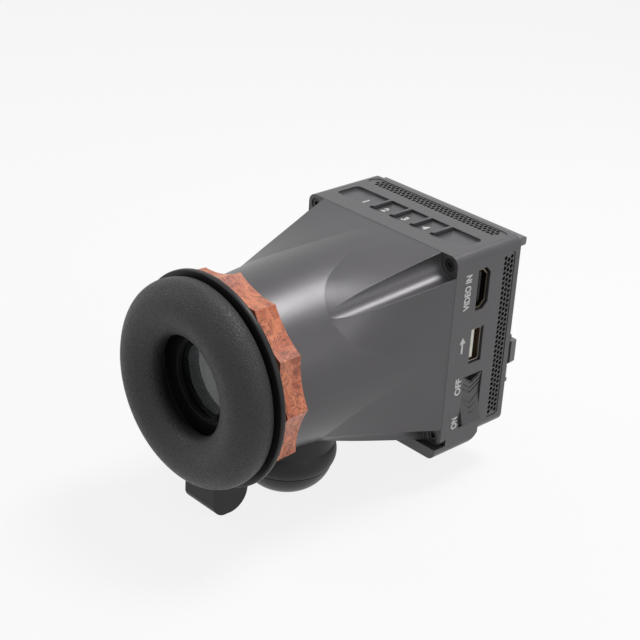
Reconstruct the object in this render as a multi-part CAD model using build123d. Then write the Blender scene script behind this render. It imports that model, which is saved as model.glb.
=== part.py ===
from build123d import *
import math
import os

# Electronic viewfinder. Lengths in millimetres, angles in degrees.
# The model is drawn in the optical frame: the optical axis is the Y axis, +Y looks from the
# eyepiece to the display, and Y = 0 is the plane where the funnel rises from its flange.
# The last step moves it so that the origin is the mouth of the mounting thread in the foot.

axis_height = 54.7
foot_to_box = 40.6

# Display box
box_width = 76.0
box_height = 75.4
box_depth = 34.0
box_corner = 3.5
box_wall = 2.2
box_edge_break = 0.8
chin_drop = 4.5
chin_depth = 15.8
chin_lead = 2.6
chin_flange_gap = 0.1

# Funnel
flange_depth = 2.9
flank_inset = 0.15
flank_length = 51.0
flank_end_radius = 31.5
barrel_inset = 0.25
barrel_front_radius = 31.6
barrel_length = 65.5
groove_radius = 5.6
groove_screw_shift = 1.1
groove_lift = 5.15
groove_length = 48.0
tunnel_side_margin = 7.5
tunnel_top_margin = 7.2
tunnel_corner = 15.5
tunnel_front_radius = 24.8
tunnel_front_margin = 7.5
corner_gap = 0.1
neck_radius = 28.0
neck_bore = 24.5
neck_tip_radius = 26.0

# Funnel screws
funnel_screw_side_margin = 4.0
funnel_screw_top_margin = 3.7
funnel_screw_radius = 1.25
funnel_screw_head_radius = 2.25
funnel_screw_head_height = 1.6
funnel_screw_seat = 1.9
funnel_screw_length = 12.0
screw_clearance = 0.15
screw_tip_gap = 0.2
hex_socket_radius = 1.15
hex_socket_depth = 1.0
boss_radius = 2.8

# Focus ring
ring_facets = 12
ring_rear_radius = 36.3
ring_front_radius = 36.8
ring_hollow = 1.4
ring_rear_gap = 0.4
ring_width = 9.3
ring_bore = 31.0
running_gap = 0.06
track_lead = 12.0
focus_angle = 120.0
pin_radius = 1.5
pin_gap = 0.1
retainer_radius = 33.0
retainer_width = 1.9
retainer_gap = 0.3

# Lens group
cell_length = 16.0
cell_setback = 1.9
cell_bore = 21.0
cell_shoulder_bore = 17.5
cell_shoulder_width = 2.4
pin_seat_depth = 1.8
lens_edge = 2.8
lens_rim_gap = 0.02
lens_air_gap = 0.1
lens_front_margin = 0.3
lens_rear_margin = 0.5
lens_front_sag = 1.1
lens_rear_sag = 2.6
lens_spacer_width = 1.6
lens_spacer_bore = 18.4
sight_radius = 15.1
sight_rim = 0.8
sight_outer_radius = 22.4
sight_edge = 0.6
sight_reach = 1.8

# Eyecup
flange_radius = 38.5
flange_thickness = 2.0
flange_edge = 0.6
flange_step_inner = 28.0
flange_step_outer = 34.0
flange_step_height = 1.0
clip_radius = 27.6
clip_thickness = 0.45
pad_seat_outer = 33.6
pad_seat_inner = 26.5
pad_outer_radius = 37.2
pad_outer_depth = 4.2
pad_shoulder_radius = 34.2
pad_shoulder_depth = 10.0
pad_crown_radius = 28.0
pad_depth = 12.8
pad_brow_radius = 21.6
pad_brow_depth = 10.5
pad_hole_radius = 17.5
pad_hole_depth = 6.0
pad_lip_radius = 19.4
pad_lip_depth = 1.6
tab_width = 15.8
tab_drop = 12.7
tab_front = 1.6
tab_rear = 12.0
tab_top_lap = 0.4
tab_toe_height = 4.2
tab_toe_length = 6.4
tab_heel_height = 7.0

# Foot under the barrel
boss_foot_radius = 15.5
boss_foot_bottom = 43.5
boss_root = 20.0
collar_radius = 18.3
collar_end_radius = 17.0
collar_bottom = 44.2
collar_top = 36.0
collar_top_flare = 0.3
collar_belly_rise = 0.7
foot_top_radius = 16.9
foot_mid_radius = 12.9
foot_mid_height = 3.5
foot_flat_radius = 5.5
foot_top = 44.5
web_thickness = 2.2
insert_radius = 5.0
insert_length = 5.0
thread_quarter_radius = 2.55
pivot_radius = 3.0
pivot_head_radius = 4.6
pivot_head_height = 1.95
spring_washer_thickness = 0.7
pivot_length = 8.5
friction_washer_radius = 13.0
axial_gap = 0.05
foot_screw_spread = 9.0
foot_screw_radius = 1.25
foot_screw_head_radius = 2.3
foot_screw_length = 10.0
foot_screw_seat_depth = 3.6
foot_screw_pocket = 8.0
foot_pocket_gap = 0.2
foot_screw_tip_gap = 0.5
foot_screw_head_height = 1.6

# Chin thread
chin_insert_radius = 4.5
chin_insert_length = 6.0

# Display stack
gasket_thickness = 0.6
tray_depth = 4.2
tray_front_wall = 0.8
tray_clearance = 0.2
window_side_margin = 4.8
window_height = 40.0
panel_side_margin = 1.3
panel_height = 47.0
panel_thickness = 1.5
backlight_thickness = 1.4
panel_gap = 0.1

# Boards
board_y = 17.7
board_thickness = 1.6
board_side_margin = 2.8
board_top_margin = 3.5
board_notch_width = 12.5
board_notch_margin = 3.7
board_boss_gap = 0.5
post_radius = 2.4
board_screw_radius = 1.0
board_screw_head_radius = 1.9
board_screw_head_height = 1.3
board_screw_length = 6.0
post_side_margin = 4.5
post_notch_margin = 5.5
post_top_margin = 7.5
chip_side = 22.0
chip_thickness = 1.2
sink_side = 42.0
sink_base = 1.5
sink_height = 8.0
fin_thickness = 1.2
fin_count = 9
flex_width = 20.0
flex_thickness = 0.3
flex_drop = 6.5
flex_setback = 0.5

# Function keys on top
key_count = 4
key_pitch = 10.2
key_gap = 0.3
key_row_start = -22.8
key_front_y = 8.6
key_depth = 10.1
key_gap_around = 0.2
key_travel = 0.5
key_flange_margin = 0.6
key_flange_height = 1.0
key_lip_height = 1.5
key_lip_width = 1.1
key_low_height = 0.15
key_scoop_shift = 0.35
key_scoop_rise = 0.32
key_stem_shift = 0.6
key_rise_start = 5.6
key_corner = 0.9
key_stem_radius = 1.5
key_stem_length = 2.4
key_recess_depth = 1.0
key_recess_left_margin = 6.0
key_recess_right_margin = 6.2
key_recess_front = 7.9
key_recess_rear = 19.4
key_recess_corner = 2.0
switch_side = 6.0
switch_height = 3.2
switch_bore_gap = 0.15
switch_floor = 0.8
key_board_thickness = 1.6
key_board_drop = 8.1
key_board_margin = 4.6
key_post_radius = 2.0
key_post_shift = 0.4
key_screw_radius = 0.9
key_screw_head_radius = 1.7
key_screw_length = 4.5
key_screw_head_height = 1.0

# Vents
vent_recess = 0.25
vent_plate_thickness = 0.8
vent_fit_gap = 0.15
vent_hole_radius = 0.82
vent_pitch = 1.95
vent_land = 0.45
vent_hole_margin = 1.3
top_vent_end_margin = 4.0
top_vent_width = 5.8
top_vent_y = 28.4
side_vent_end_margin = 4.6
side_vent_width = 6.0
side_vent_y = 27.6
side_vent_corner = 1.4
vent_rows = 3

# Video socket and data socket on the right side
video_y = 14.7
video_drop = 15.1
video_length = 15.0
video_height = 5.2
video_bevel = 2.3
video_margin = 0.6
video_depth = 12.0
video_wall = 0.4
video_tongue_length = 11.6
video_tongue_thickness = 1.0
video_tongue_shift = 0.2
video_tongue_setback = 1.2
data_y = 14.2
data_z = 0.4
data_length = 13.1
data_height = 5.7
data_wall = 0.35
data_margin = 0.45
data_depth = 13.0
data_tongue_length = 11.1
data_tongue_thickness = 1.84
data_tongue_shift = 0.7
data_tongue_setback = 0.8
data_corner = 0.4
socket_setback = 0.9

# Power rocker
rocker_y = 14.25
rocker_rise = 15.9
rocker_width = 9.7
rocker_half_length = 9.6
rocker_gap = 0.25
rocker_end_gap = 0.75
rocker_pivot_depth = 4.6
rocker_pin_radius = 0.9
rocker_pin_gap = 0.06
rocker_throw = 12.0
rocker_end_height = 0.9
rocker_hollow = 1.4
rocker_heel = 1.4
rocker_heel_taper = 3.2
rocker_tip_taper = 0.9
rocker_taper_height = 1.6
rocker_ridge_turn = 32.0
rocker_ridge_width = 0.55
rocker_body_depth = 4.6
rocker_ridge = 0.35
rocker_notch = 3.0
rocker_notch_depth = 2.0
ear_thickness = 1.2
ear_gap = 0.15
ear_reach = 3.0
switch_block_thickness = 2.6
switch_block_margin = 1.0
terminal_length = 3.0
terminal_pitch = 5.0
terminal_width = 2.8
terminal_thickness = 0.6

# Battery plate
plate_side_margin = 2.4
plate_top_margin = 3.2
plate_thickness = 2.0
ledge_top_margin = 1.9
ledge_height = 3.2
ledge_reach = 4.9
ledge_edge = 0.8
hook_x = 14.0
hook_z = 13.0
hook_length = 8.0
hook_width = 3.0
hook_reach = 2.8
hook_lip = 1.2
hook_lip_thickness = 1.2
plate_screw_radius = 1.0
plate_screw_head_radius = 1.9
plate_screw_head_height = 1.2
screw_head_gap = 0.1
plate_screw_side_margin = 6.1
plate_screw_top_margin = 7.5
contact_width = 16.0
contact_height = 5.0
contact_depth = 2.6
contact_rise = 9.5
blade_width = 1.6
blade_pitch = 4.5
blade_setback = 0.8
blade_thickness = 0.8
blade_length = 3.0
latch_top_z = -5.6
latch_height = 11.0
latch_width = 7.0
latch_thickness = 3.2
latch_overhang = 1.2
latch_taper = 2.6
latch_travel = 3.0
latch_gap = 0.1
latch_edge = 0.8
latch_guard = 1.4
latch_guard_height = 2.4
latch_stop_margin = 1.0
latch_spring_radius = 1.1
latch_spring_wire = 0.28
latch_spring_turns = 6
latch_spring_solid = 2.6


def front_plane(y):
    """Plane across the optical axis: local x is +X and local y is +Z."""
    return Plane(origin=(0, y, 0), x_dir=(1, 0, 0), z_dir=(0, -1, 0))


def slab(sketch, y_low, y_high):
    """A sketch drawn in X and Z, carried from y_low to y_high."""
    return extrude(front_plane(y_low) * sketch, amount=-(y_high - y_low))


def disc(y_low, y_high, outer, inner=0.0):
    """A disc or a ring on the optical axis."""
    face = Circle(outer)
    if inner > 0:
        face = face - Circle(inner)
    return slab(face, y_low, y_high)


def push(face, direction, length):
    """A face carried along a direction, whichever way it was drawn."""
    return extrude(face, amount=length, dir=direction)


def block(x_low, x_high, y_low, y_high, z_low, z_high):
    """A plain box between two corners."""
    size = (x_high - x_low, y_high - y_low, z_high - z_low)
    centre = ((x_low + x_high) / 2, (y_low + y_high) / 2, (z_low + z_high) / 2)
    return Pos(*centre) * Box(*size)


def rod(start, direction, radius, length):
    """A cylinder from a point along a direction."""
    return Part() + Solid.make_cylinder(radius, length, Plane(origin=start, z_dir=direction))


def turned_on_axis(wire):
    """A profile of radius and Y, turned about the optical axis."""
    return revolve(make_face(wire), axis=Axis.Y)


def turned_upright(wire, y_centre):
    """A profile of radius and Z, drawn in the XZ plane, turned about an upright axis."""
    face = make_face(Plane.XZ * wire)
    return Pos(0, y_centre, 0) * revolve(face, axis=Axis.Z)


def corners(offset_x, offset_z):
    """The four places of a rectangular screw pattern."""
    return [(sx * offset_x, sz * offset_z) for sx in (-1, 1) for sz in (-1, 1)]


# Values that follow from the driving sizes
half_width = box_width / 2
half_height = box_height / 2
inner_half_width = half_width - box_wall
inner_half_height = half_height - box_wall
foot_y = -foot_to_box
foot_bottom = -axis_height
chin_bottom = -(half_height + chin_drop)
chin_insert_y = (flange_depth + chin_depth) / 2
rear_inner = box_depth - box_wall
barrel_box_radius = min(half_width, half_height) - barrel_inset
tunnel_half_width = half_width - tunnel_side_margin
tunnel_half_height = half_height - tunnel_top_margin
tunnel_length = barrel_length - tunnel_front_margin
funnel_screw_x = half_width - funnel_screw_side_margin
funnel_screw_z = half_height - funnel_screw_top_margin
ring_rear_y = -(barrel_length + ring_rear_gap)
ring_front_y = ring_rear_y - ring_width
pin_y = (ring_front_y + ring_rear_y) / 2
neck_shoulder_y = ring_front_y - retainer_width - retainer_gap
flange_rear_y = neck_shoulder_y
flange_front_y = flange_rear_y - flange_thickness
neck_tip_y = flange_front_y - axial_gap - clip_thickness
pad_back_y = flange_front_y - flange_step_height
cell_front_y = neck_tip_y + cell_setback
cell_rear_y = cell_front_y + cell_length
sight_front_y = cell_front_y - sight_reach
sleeve_bore = neck_radius + running_gap
cell_radius = neck_bore - running_gap
focus_travel = track_lead * focus_angle / 360
tray_front = flange_depth + gasket_thickness
tray_back = tray_front + tray_depth
panel_front = tray_front + tray_front_wall
panel_back = panel_front + panel_thickness
window_width = 2 * (inner_half_width - window_side_margin)
panel_width = 2 * (inner_half_width - panel_side_margin)
flex_z = -(panel_height / 2 + flex_drop)
key_width = key_pitch - key_gap
key_floor = half_height - key_recess_depth
key_window_end = key_row_start + key_count * key_pitch - key_gap
key_recess_left = -(half_width - key_recess_left_margin)
key_recess_right = half_width - key_recess_right_margin
key_board_top = half_height - key_board_drop
wall_under_keys = half_height - box_wall
top_vent_length = box_width - 2 * top_vent_end_margin
side_vent_length = box_height - 2 * side_vent_end_margin
video_z = half_height - video_drop
rocker_z = -(half_height - rocker_rise)
rocker_pivot_x = half_width - rocker_pivot_depth
board_back = board_y + board_thickness
board_half_width = inner_half_width - board_side_margin
board_half_height = inner_half_height - board_top_margin
board_notch_x = half_width - board_notch_width
board_notch_z = rocker_z + rocker_half_length + board_notch_margin
post_x = board_half_width - post_side_margin
post_right_x = board_notch_x - post_notch_margin
post_z = board_half_height - post_top_margin
plate_back = box_depth + plate_thickness
plate_half_width = half_width - plate_side_margin
plate_half_height = half_height - plate_top_margin
ledge_top = half_height - ledge_top_margin
plate_screw_x = plate_half_width - plate_screw_side_margin
plate_screw_z = plate_half_height - plate_screw_top_margin
contact_z = -(plate_half_height - contact_rise)


def barrel_radius(y):
    """Radius of the round barrel at a place on the optical axis."""
    share = -y / barrel_length
    return barrel_box_radius + share * (barrel_front_radius - barrel_box_radius)


def flank_core():
    """Ruled form that turns from the box's square into a circle, so that its flanks are crowned."""
    half_x = half_width - flank_inset
    half_z = half_height - flank_inset
    square = [(half_x, half_z), (-half_x, half_z), (-half_x, -half_z), (half_x, -half_z)]
    diagonal = flank_end_radius * math.sqrt(0.5)
    ends = [(math.copysign(diagonal, x), math.copysign(diagonal, z)) for x, z in square]
    middles = [(0, flank_end_radius), (-flank_end_radius, 0), (0, -flank_end_radius), (flank_end_radius, 0)]
    arcs = [ThreePointArc(ends[step], middles[step], ends[(step + 1) % 4]) for step in range(4)]
    back = front_plane(0) * make_face(Polyline(*square, close=True))
    front = front_plane(-flank_length) * make_face(Curve() + arcs)
    return loft([back, front], ruled=True)


def screw_groove(sign_x, sign_z):
    """Driver channel that runs along one corner of the funnel."""
    tip = flank_end_radius * math.sqrt(0.5) + groove_lift
    root_x = funnel_screw_x + groove_screw_shift
    root_z = funnel_screw_z + groove_screw_shift
    start = Vector(sign_x * root_x, 0, sign_z * root_z)
    end = Vector(sign_x * tip, -groove_length, sign_z * tip)
    direction = end - start
    open_side = Rectangle(2 * groove_radius, 2 * groove_radius)
    outline = Circle(groove_radius) + Pos(sign_x * groove_radius, sign_z * groove_radius) * open_side
    section = Plane(origin=start - direction * 0.1, x_dir=(1, 0, 0), z_dir=direction) * outline
    return extrude(section, amount=direction.length * 1.1)


def funnel_skin():
    """Outer form of the funnel without its flange and neck: grooved flanks and a round barrel."""
    flanks = flank_core()
    for sign_x, sign_z in corners(1, 1):
        flanks -= screw_groove(sign_x, sign_z)
    cone = turned_on_axis(Polyline((0, 0), (barrel_box_radius, 0), (barrel_front_radius, -barrel_length),
                                   (0, -barrel_length), close=True))
    return flanks + cone


def funnel_housing():
    """Metal housing from the display box to the eyepiece neck."""
    base = slab(RectangleRounded(box_width, box_height, box_corner), 0, flange_depth)
    shell = funnel_skin() + base
    shell += disc(neck_shoulder_y, -barrel_length, neck_radius)
    shell += disc(neck_tip_y, neck_shoulder_y, neck_tip_radius)
    back = front_plane(0) * RectangleRounded(2 * tunnel_half_width, 2 * tunnel_half_height, tunnel_corner)
    front_side = 2 * tunnel_front_radius
    front_corner = tunnel_front_radius - corner_gap
    front = front_plane(-tunnel_length) * RectangleRounded(front_side, front_side, front_corner)
    shell -= loft([back, front]) + extrude(back, amount=-flange_depth)
    shell -= disc(neck_tip_y, -tunnel_length, neck_bore)
    for x, z in corners(funnel_screw_x, funnel_screw_z):
        shell -= rod((x, 0, z), (0, 1, 0), funnel_screw_radius + screw_clearance, flange_depth)
        shell -= rod((x, 0, z), (0, 1, 0), funnel_screw_head_radius + screw_clearance, funnel_screw_seat)
    for sign in (-1, 1):
        shell -= pin_slot(sign)
        seat = (sign * foot_screw_spread, foot_y, foot_screw_seat())
        shell -= rod(seat, (0, 0, -1), foot_screw_radius + screw_clearance, barrel_box_radius)
        shell -= rod(seat, (0, 0, 1), foot_screw_head_radius + foot_pocket_gap, foot_screw_pocket)
    return shell


def foot_screw_seat():
    """Height at which the heads of the foot screws sit inside the barrel."""
    return foot_screw_seat_depth - barrel_radius(foot_y)


def pin_slot(sign):
    """Straight slot in the neck for one follower pin."""
    half = pin_radius + pin_gap
    reach = focus_travel / 2 + pin_gap
    outer = sign * (neck_radius + 1)
    inner = sign * (neck_bore - 1)
    slot = block(min(inner, outer), max(inner, outer), pin_y - reach, pin_y + reach, -half, half)
    for end in (-reach, reach):
        slot += rod((inner, pin_y + end, 0), (sign, 0, 0), half, abs(outer - inner))
    return slot


def funnel_screws():
    """Four socket screws that clamp the funnel to the box."""
    group = []
    for x, z in corners(funnel_screw_x, funnel_screw_z):
        screw = rod((x, funnel_screw_seat, z), (0, 1, 0), funnel_screw_radius, funnel_screw_length)
        head_y = funnel_screw_seat - funnel_screw_head_height
        head = rod((x, head_y, z), (0, 1, 0), funnel_screw_head_radius, funnel_screw_head_height)
        hexagon = RegularPolygon(hex_socket_radius, 6)
        socket = Pos(x, 0, z) * slab(hexagon, head_y - 1, head_y + hex_socket_depth)
        group.append(screw + head - socket)
    return group


def box_shell():
    """Outer form of the display box with its thicker lower front, which leads under the flange."""
    body = slab(RectangleRounded(box_width, box_height, box_corner), flange_depth, box_depth)
    body = chamfer(body.faces().sort_by(Axis.Y)[-1].edges(), box_edge_break)
    tall = box_height + chin_drop
    outline = Pos(0, -chin_drop / 2) * RectangleRounded(box_width, tall, box_corner)
    chin = slab(outline, flange_depth, chin_depth + chin_drop)
    chin &= block(-half_width, half_width, flange_depth, box_depth, chin_bottom, -half_height + box_corner)
    ramp = Polyline((chin_depth, chin_bottom), (chin_depth + chin_drop, -half_height),
                    (box_depth, -half_height), (box_depth, chin_bottom - 1),
                    (chin_depth, chin_bottom - 1), close=True)
    wedge = extrude(make_face(Plane.YZ * ramp), amount=half_width + 1, both=True)
    lead = slab(outline, -chin_lead, flange_depth)
    lead_top = -half_height - chin_flange_gap
    lead &= block(-half_width, half_width, -chin_lead, flange_depth, chin_bottom, lead_top)
    return body + (chin - wedge) + lead


def key_window():
    """Opening in the top wall for the row of function keys."""
    low_x = key_row_start - key_gap_around
    high_x = key_window_end + key_gap_around
    low_y = key_front_y - key_gap_around
    high_y = key_front_y + key_depth + key_gap_around
    return block(low_x, high_x, low_y, high_y, wall_under_keys - 1, half_height + 1)


def key_recess():
    """Shallow pan in the top face around the function keys."""
    width = key_recess_right - key_recess_left
    depth = key_recess_rear - key_recess_front
    centre = ((key_recess_right + key_recess_left) / 2, (key_recess_rear + key_recess_front) / 2)
    pan = Plane.XY.offset(key_floor) * Pos(*centre) * RectangleRounded(width, depth, key_recess_corner)
    return extrude(pan, amount=key_recess_depth + 1)


def top_vent_outline(margin):
    """Long slot outline of the top vent, drawn flat."""
    return Pos(0, top_vent_y) * SlotOverall(top_vent_length + 2 * margin, top_vent_width + 2 * margin)


def side_vent_sketch(margin):
    """Long rounded outline of the side vent, drawn in Y and Z."""
    plate = RectangleRounded(side_vent_width + 2 * margin, side_vent_length + 2 * margin,
                             side_vent_corner + margin)
    return Pos(side_vent_y, 0) * plate


def side_extrude(sketch, x_low, x_high):
    """A sketch drawn in Y and Z, carried from x_low to x_high."""
    return extrude(Plane.YZ.offset(x_low) * sketch, amount=x_high - x_low)


def video_outline(margin):
    """Bevelled outline of the video socket, drawn in Y and Z, wide side to the front."""
    half = video_length / 2 + margin
    low = video_y - video_height / 2 - margin
    high = video_y + video_height / 2 + margin
    bevel = video_bevel
    return Polygon((low, video_z - half), (high - bevel, video_z - half), (high, video_z - half + bevel),
                   (high, video_z + half - bevel), (high - bevel, video_z + half), (low, video_z + half),
                   align=None)


def data_outline(margin):
    """Plain outline of the data socket, drawn in Y and Z."""
    high = data_height + 2 * margin
    long = data_length + 2 * margin
    return Pos(data_y, data_z) * RectangleRounded(high, long, data_corner)


def rear_housing():
    """Display box: an open front, a closed back and every opening in its walls."""
    shell = box_shell()
    cavity = RectangleRounded(2 * inner_half_width, 2 * inner_half_height, box_corner - 1)
    shell -= slab(cavity, flange_depth, rear_inner)
    for x, z in corners(funnel_screw_x, funnel_screw_z):
        boss = rod((x, tray_back, z), (0, 1, 0), boss_radius, rear_inner - tray_back)
        filler = block(min(x, math.copysign(half_width - 1, x)), max(x, math.copysign(half_width - 1, x)),
                       tray_back, rear_inner, min(z, math.copysign(half_height - 1, z)),
                       max(z, math.copysign(half_height - 1, z)))
        shell += boss + filler
        depth = funnel_screw_seat + funnel_screw_length - tray_back + 1
        shell -= rod((x, tray_back, z), (0, 1, 0), funnel_screw_radius, depth)
    for x, z in board_posts():
        shell += rod((x, board_back, z), (0, 1, 0), post_radius, rear_inner - board_back)
        shell -= rod((x, board_back, z), (0, 1, 0), board_screw_radius, board_screw_length)
    shell -= key_recess()
    shell -= key_window()
    for x in key_posts():
        low = (x, key_board_centre_y(), key_board_top)
        shell += rod(low, (0, 0, 1), key_post_radius, wall_under_keys - key_board_top)
        shell -= rod(low, (0, 0, 1), key_screw_radius, key_screw_length - key_board_thickness)
    shell -= extrude(Plane.XY.offset(half_height - vent_recess - vent_plate_thickness)
                     * top_vent_outline(vent_fit_gap), amount=5)
    shell -= extrude(Plane.XY.offset(wall_under_keys - 1) * top_vent_outline(-vent_land), amount=5)
    inside = half_width - vent_recess - vent_plate_thickness
    shell -= side_extrude(side_vent_sketch(vent_fit_gap), inside, half_width + 1)
    shell -= side_extrude(side_vent_sketch(-vent_land), inner_half_width - 1, half_width + 1)
    shell -= side_extrude(video_outline(video_margin), inner_half_width - 1, half_width + 1)
    shell -= side_extrude(data_outline(data_margin), inner_half_width - 1, half_width + 1)
    shell -= rocker_window()
    shell -= rod((0, chin_insert_y, chin_bottom), (0, 0, 1), chin_insert_radius, chin_insert_length)
    for x, z in corners(plate_screw_x, plate_screw_z):
        shell -= rod((x, rear_inner, z), (0, 1, 0), plate_screw_radius, box_wall)
    return shell


def rocker_window():
    """Opening in the right wall for the power rocker."""
    half_y = rocker_width / 2 + rocker_gap
    half_z = rocker_half_length + rocker_end_gap
    return block(inner_half_width - 1, half_width + 1, rocker_y - half_y, rocker_y + half_y,
                 rocker_z - half_z, rocker_z + half_z)


def board_posts():
    """Places of the main board's four posts."""
    return [(-post_x, -post_z), (-post_x, post_z), (post_right_x, -post_z), (post_right_x, post_z)]


def key_posts():
    """X places of the key board's two posts."""
    reach = key_board_margin / 2 + key_post_shift
    return (key_row_start - reach, key_window_end + reach)


def key_board_centre_y():
    """Y place of the middle of the key board and of every key stem."""
    return key_front_y + key_depth / 2 - key_stem_shift


def vent_holes_flat(reach):
    """Staggered hole centres up to a reach each way from the middle, along and across."""
    places = []
    row_step = vent_pitch * math.sqrt(3) / 2
    for row in range(vent_rows):
        across = (row - (vent_rows - 1) / 2) * row_step
        shift = vent_pitch / 2 if row % 2 else 0.0
        count = int((reach - shift) // vent_pitch)
        low = -count if shift == 0 else -count - 1
        for step in range(low, count + 1):
            places.append((step * vent_pitch + shift, across))
    return places


def top_vent_grille():
    """Perforated insert in the top wall."""
    plane = Plane.XY.offset(half_height - vent_recess - vent_plate_thickness)
    plate = top_vent_outline(0)
    holes = [Pos(along, top_vent_y + across) * Circle(vent_hole_radius)
             for along, across in vent_holes_flat(top_vent_length / 2 - top_vent_width / 2)]
    return extrude(plane * (plate - holes), amount=vent_plate_thickness)


def side_vent_grille():
    """Perforated insert in the right wall."""
    plate = side_vent_sketch(0)
    holes = [Pos(side_vent_y + across, along) * Circle(vent_hole_radius)
             for along, across in vent_holes_flat(side_vent_length / 2 - vent_hole_margin)]
    start = half_width - vent_recess - vent_plate_thickness
    return side_extrude(plate - holes, start, start + vent_plate_thickness)


def function_key(index):
    """One function key: a low scoop that rises to a raised lip on its right edge."""
    x0 = key_row_start + index * key_pitch
    x1 = x0 + key_width
    low_top = key_floor + key_low_height
    lip_top = key_floor + key_lip_height
    flange_top = wall_under_keys - axial_gap
    flange_low = flange_top - key_flange_height
    rise = x0 + key_rise_start
    lip_start = x1 - key_lip_width
    top_line = Polyline((x0, low_top), (x0, flange_low), (x1, flange_low), (x1, lip_top),
                        (lip_start, lip_top))
    scoop_mid = ((rise + x1) / 2 - key_scoop_shift, low_top + key_scoop_rise)
    scoop = ThreePointArc((lip_start, lip_top), scoop_mid, (rise, low_top))
    closing = Line((rise, low_top), (x0, low_top))
    profile = make_face(Plane.XZ.offset(-key_front_y) * (Curve() + [top_line, scoop, closing]))
    cap = push(profile, (0, 1, 0), key_depth)
    front_right = cap.edges().filter_by(Axis.Z).sort_by(lambda e: e.center().X - e.center().Y)[-1]
    cap = fillet(front_right, key_corner)
    flange = block(x0, x1, key_front_y - key_flange_margin, key_front_y + key_depth + key_flange_margin,
                   flange_low, flange_top)
    stem_top = ((x0 + x1) / 2, key_board_centre_y(), flange_low)
    stem = rod(stem_top, (0, 0, -1), key_stem_radius, key_stem_length)
    return cap + flange + stem


def key_switches():
    """Four tactile switches on the key board, each bored for a key stem."""
    group = []
    for index in range(key_count):
        x = key_row_start + index * key_pitch + key_width / 2
        y = key_board_centre_y()
        half = switch_side / 2
        body = block(x - half, x + half, y - half, y + half, key_board_top, key_board_top + switch_height)
        bore = rod((x, y, key_board_top + switch_height), (0, 0, -1), key_stem_radius + switch_bore_gap,
                   switch_height - switch_floor)
        group.append(body - bore)
    return group


def key_board():
    """Narrow board under the function keys."""
    x0 = key_row_start - key_board_margin
    x1 = key_window_end + key_board_margin
    half = switch_side / 2 + 1
    y = key_board_centre_y()
    board = block(x0, x1, y - half, y + half, key_board_top - key_board_thickness, key_board_top)
    for x in key_posts():
        hole_radius = key_screw_radius + screw_clearance
        board -= rod((x, y, key_board_top), (0, 0, -1), hole_radius, key_board_thickness)
    return board


def key_board_screws():
    """Two small screws that hold the key board to its posts."""
    group = []
    bottom = key_board_top - key_board_thickness
    for x in key_posts():
        start = (x, key_board_centre_y(), bottom)
        shank = rod(start, (0, 0, 1), key_screw_radius, key_screw_length)
        group.append(shank + rod(start, (0, 0, -1), key_screw_head_radius, key_screw_head_height))
    return group


def display_gasket():
    """Foam seal between the funnel base and the display tray."""
    outer = Rectangle(2 * inner_half_width - 8, 2 * inner_half_height - 8)
    hole = Rectangle(window_width + 1, window_height + 1)
    return slab(outer - hole, flange_depth, tray_front)


def display_tray():
    """Tray that carries the display, clamped between the funnel and the box bosses."""
    width = 2 * (inner_half_width - tray_clearance)
    height = 2 * (inner_half_height - tray_clearance)
    tray = slab(RectangleRounded(width, height, box_corner - 1), tray_front, tray_back)
    tray -= slab(Rectangle(window_width, window_height), 0, tray_back)
    pocket = Rectangle(panel_width + 2 * panel_gap, panel_height + 2 * panel_gap)
    tray -= slab(pocket, panel_front, tray_back)
    for x, z in corners(funnel_screw_x, funnel_screw_z):
        tray -= rod((x, 0, z), (0, 1, 0), funnel_screw_radius + screw_clearance, tray_back + 1)
    slot_half = flex_width / 2 + 1
    tray -= block(-slot_half, slot_half, panel_front, tray_back, flex_z - 2, -panel_height / 2)
    return tray


def display_panel():
    """Bare display glass that faces the eyepiece."""
    return slab(Rectangle(panel_width, panel_height), panel_front, panel_back)


def backlight_unit():
    """Light unit behind the display glass."""
    return slab(Rectangle(panel_width, panel_height), panel_back, panel_back + backlight_thickness)


def display_backplate():
    """Thin steel plate that closes the display pocket."""
    return slab(Rectangle(panel_width, panel_height), panel_back + backlight_thickness, tray_back)


def display_flex():
    """Flat cable from the display pocket to the main board."""
    rise_y = panel_back + flex_setback
    half = flex_width / 2
    run = block(-half, half, rise_y, board_y, flex_z, flex_z + flex_thickness)
    riser = block(-half, half, rise_y, rise_y + flex_thickness, flex_z, -panel_height / 2 - panel_gap / 2)
    return run + riser


def main_board():
    """Main circuit board across the box, notched beside the power rocker."""
    outline = Rectangle(2 * board_half_width, 2 * board_half_height)
    board = slab(outline, board_y, board_back)
    board -= block(board_notch_x, half_width, board_y, board_back, -half_height, board_notch_z)
    for x, z in corners(funnel_screw_x, funnel_screw_z):
        board -= rod((x, board_y, z), (0, 1, 0), boss_radius + board_boss_gap, board_thickness)
        low_x, high_x = sorted((x, math.copysign(half_width, x)))
        low_z, high_z = sorted((z, math.copysign(half_height, z)))
        board -= block(low_x, high_x, board_y, board_back, low_z, high_z)
    for x, z in board_posts():
        board -= rod((x, board_y, z), (0, 1, 0), board_screw_radius + screw_clearance, board_thickness)
    return board


def board_screws():
    """Four screws that hold the main board to its posts."""
    group = []
    for x, z in board_posts():
        shank = rod((x, board_y, z), (0, 1, 0), board_screw_radius, board_screw_length)
        head = rod((x, board_y, z), (0, -1, 0), board_screw_head_radius, board_screw_head_height)
        group.append(shank + head)
    return group


def video_processor():
    """Main chip on the back of the board."""
    return slab(Rectangle(chip_side, chip_side), board_back, board_back + chip_thickness)


def heat_sink():
    """Finned sink on the chip, behind the vents."""
    low = board_back + chip_thickness
    sink = slab(Rectangle(sink_side, sink_side), low, low + sink_base)
    step = (sink_side - fin_thickness) / (fin_count - 1)
    for index in range(fin_count):
        x = -sink_side / 2 + index * step
        sink += block(x, x + fin_thickness, low, low + sink_height, -sink_side / 2, sink_side / 2)
    return sink


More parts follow.
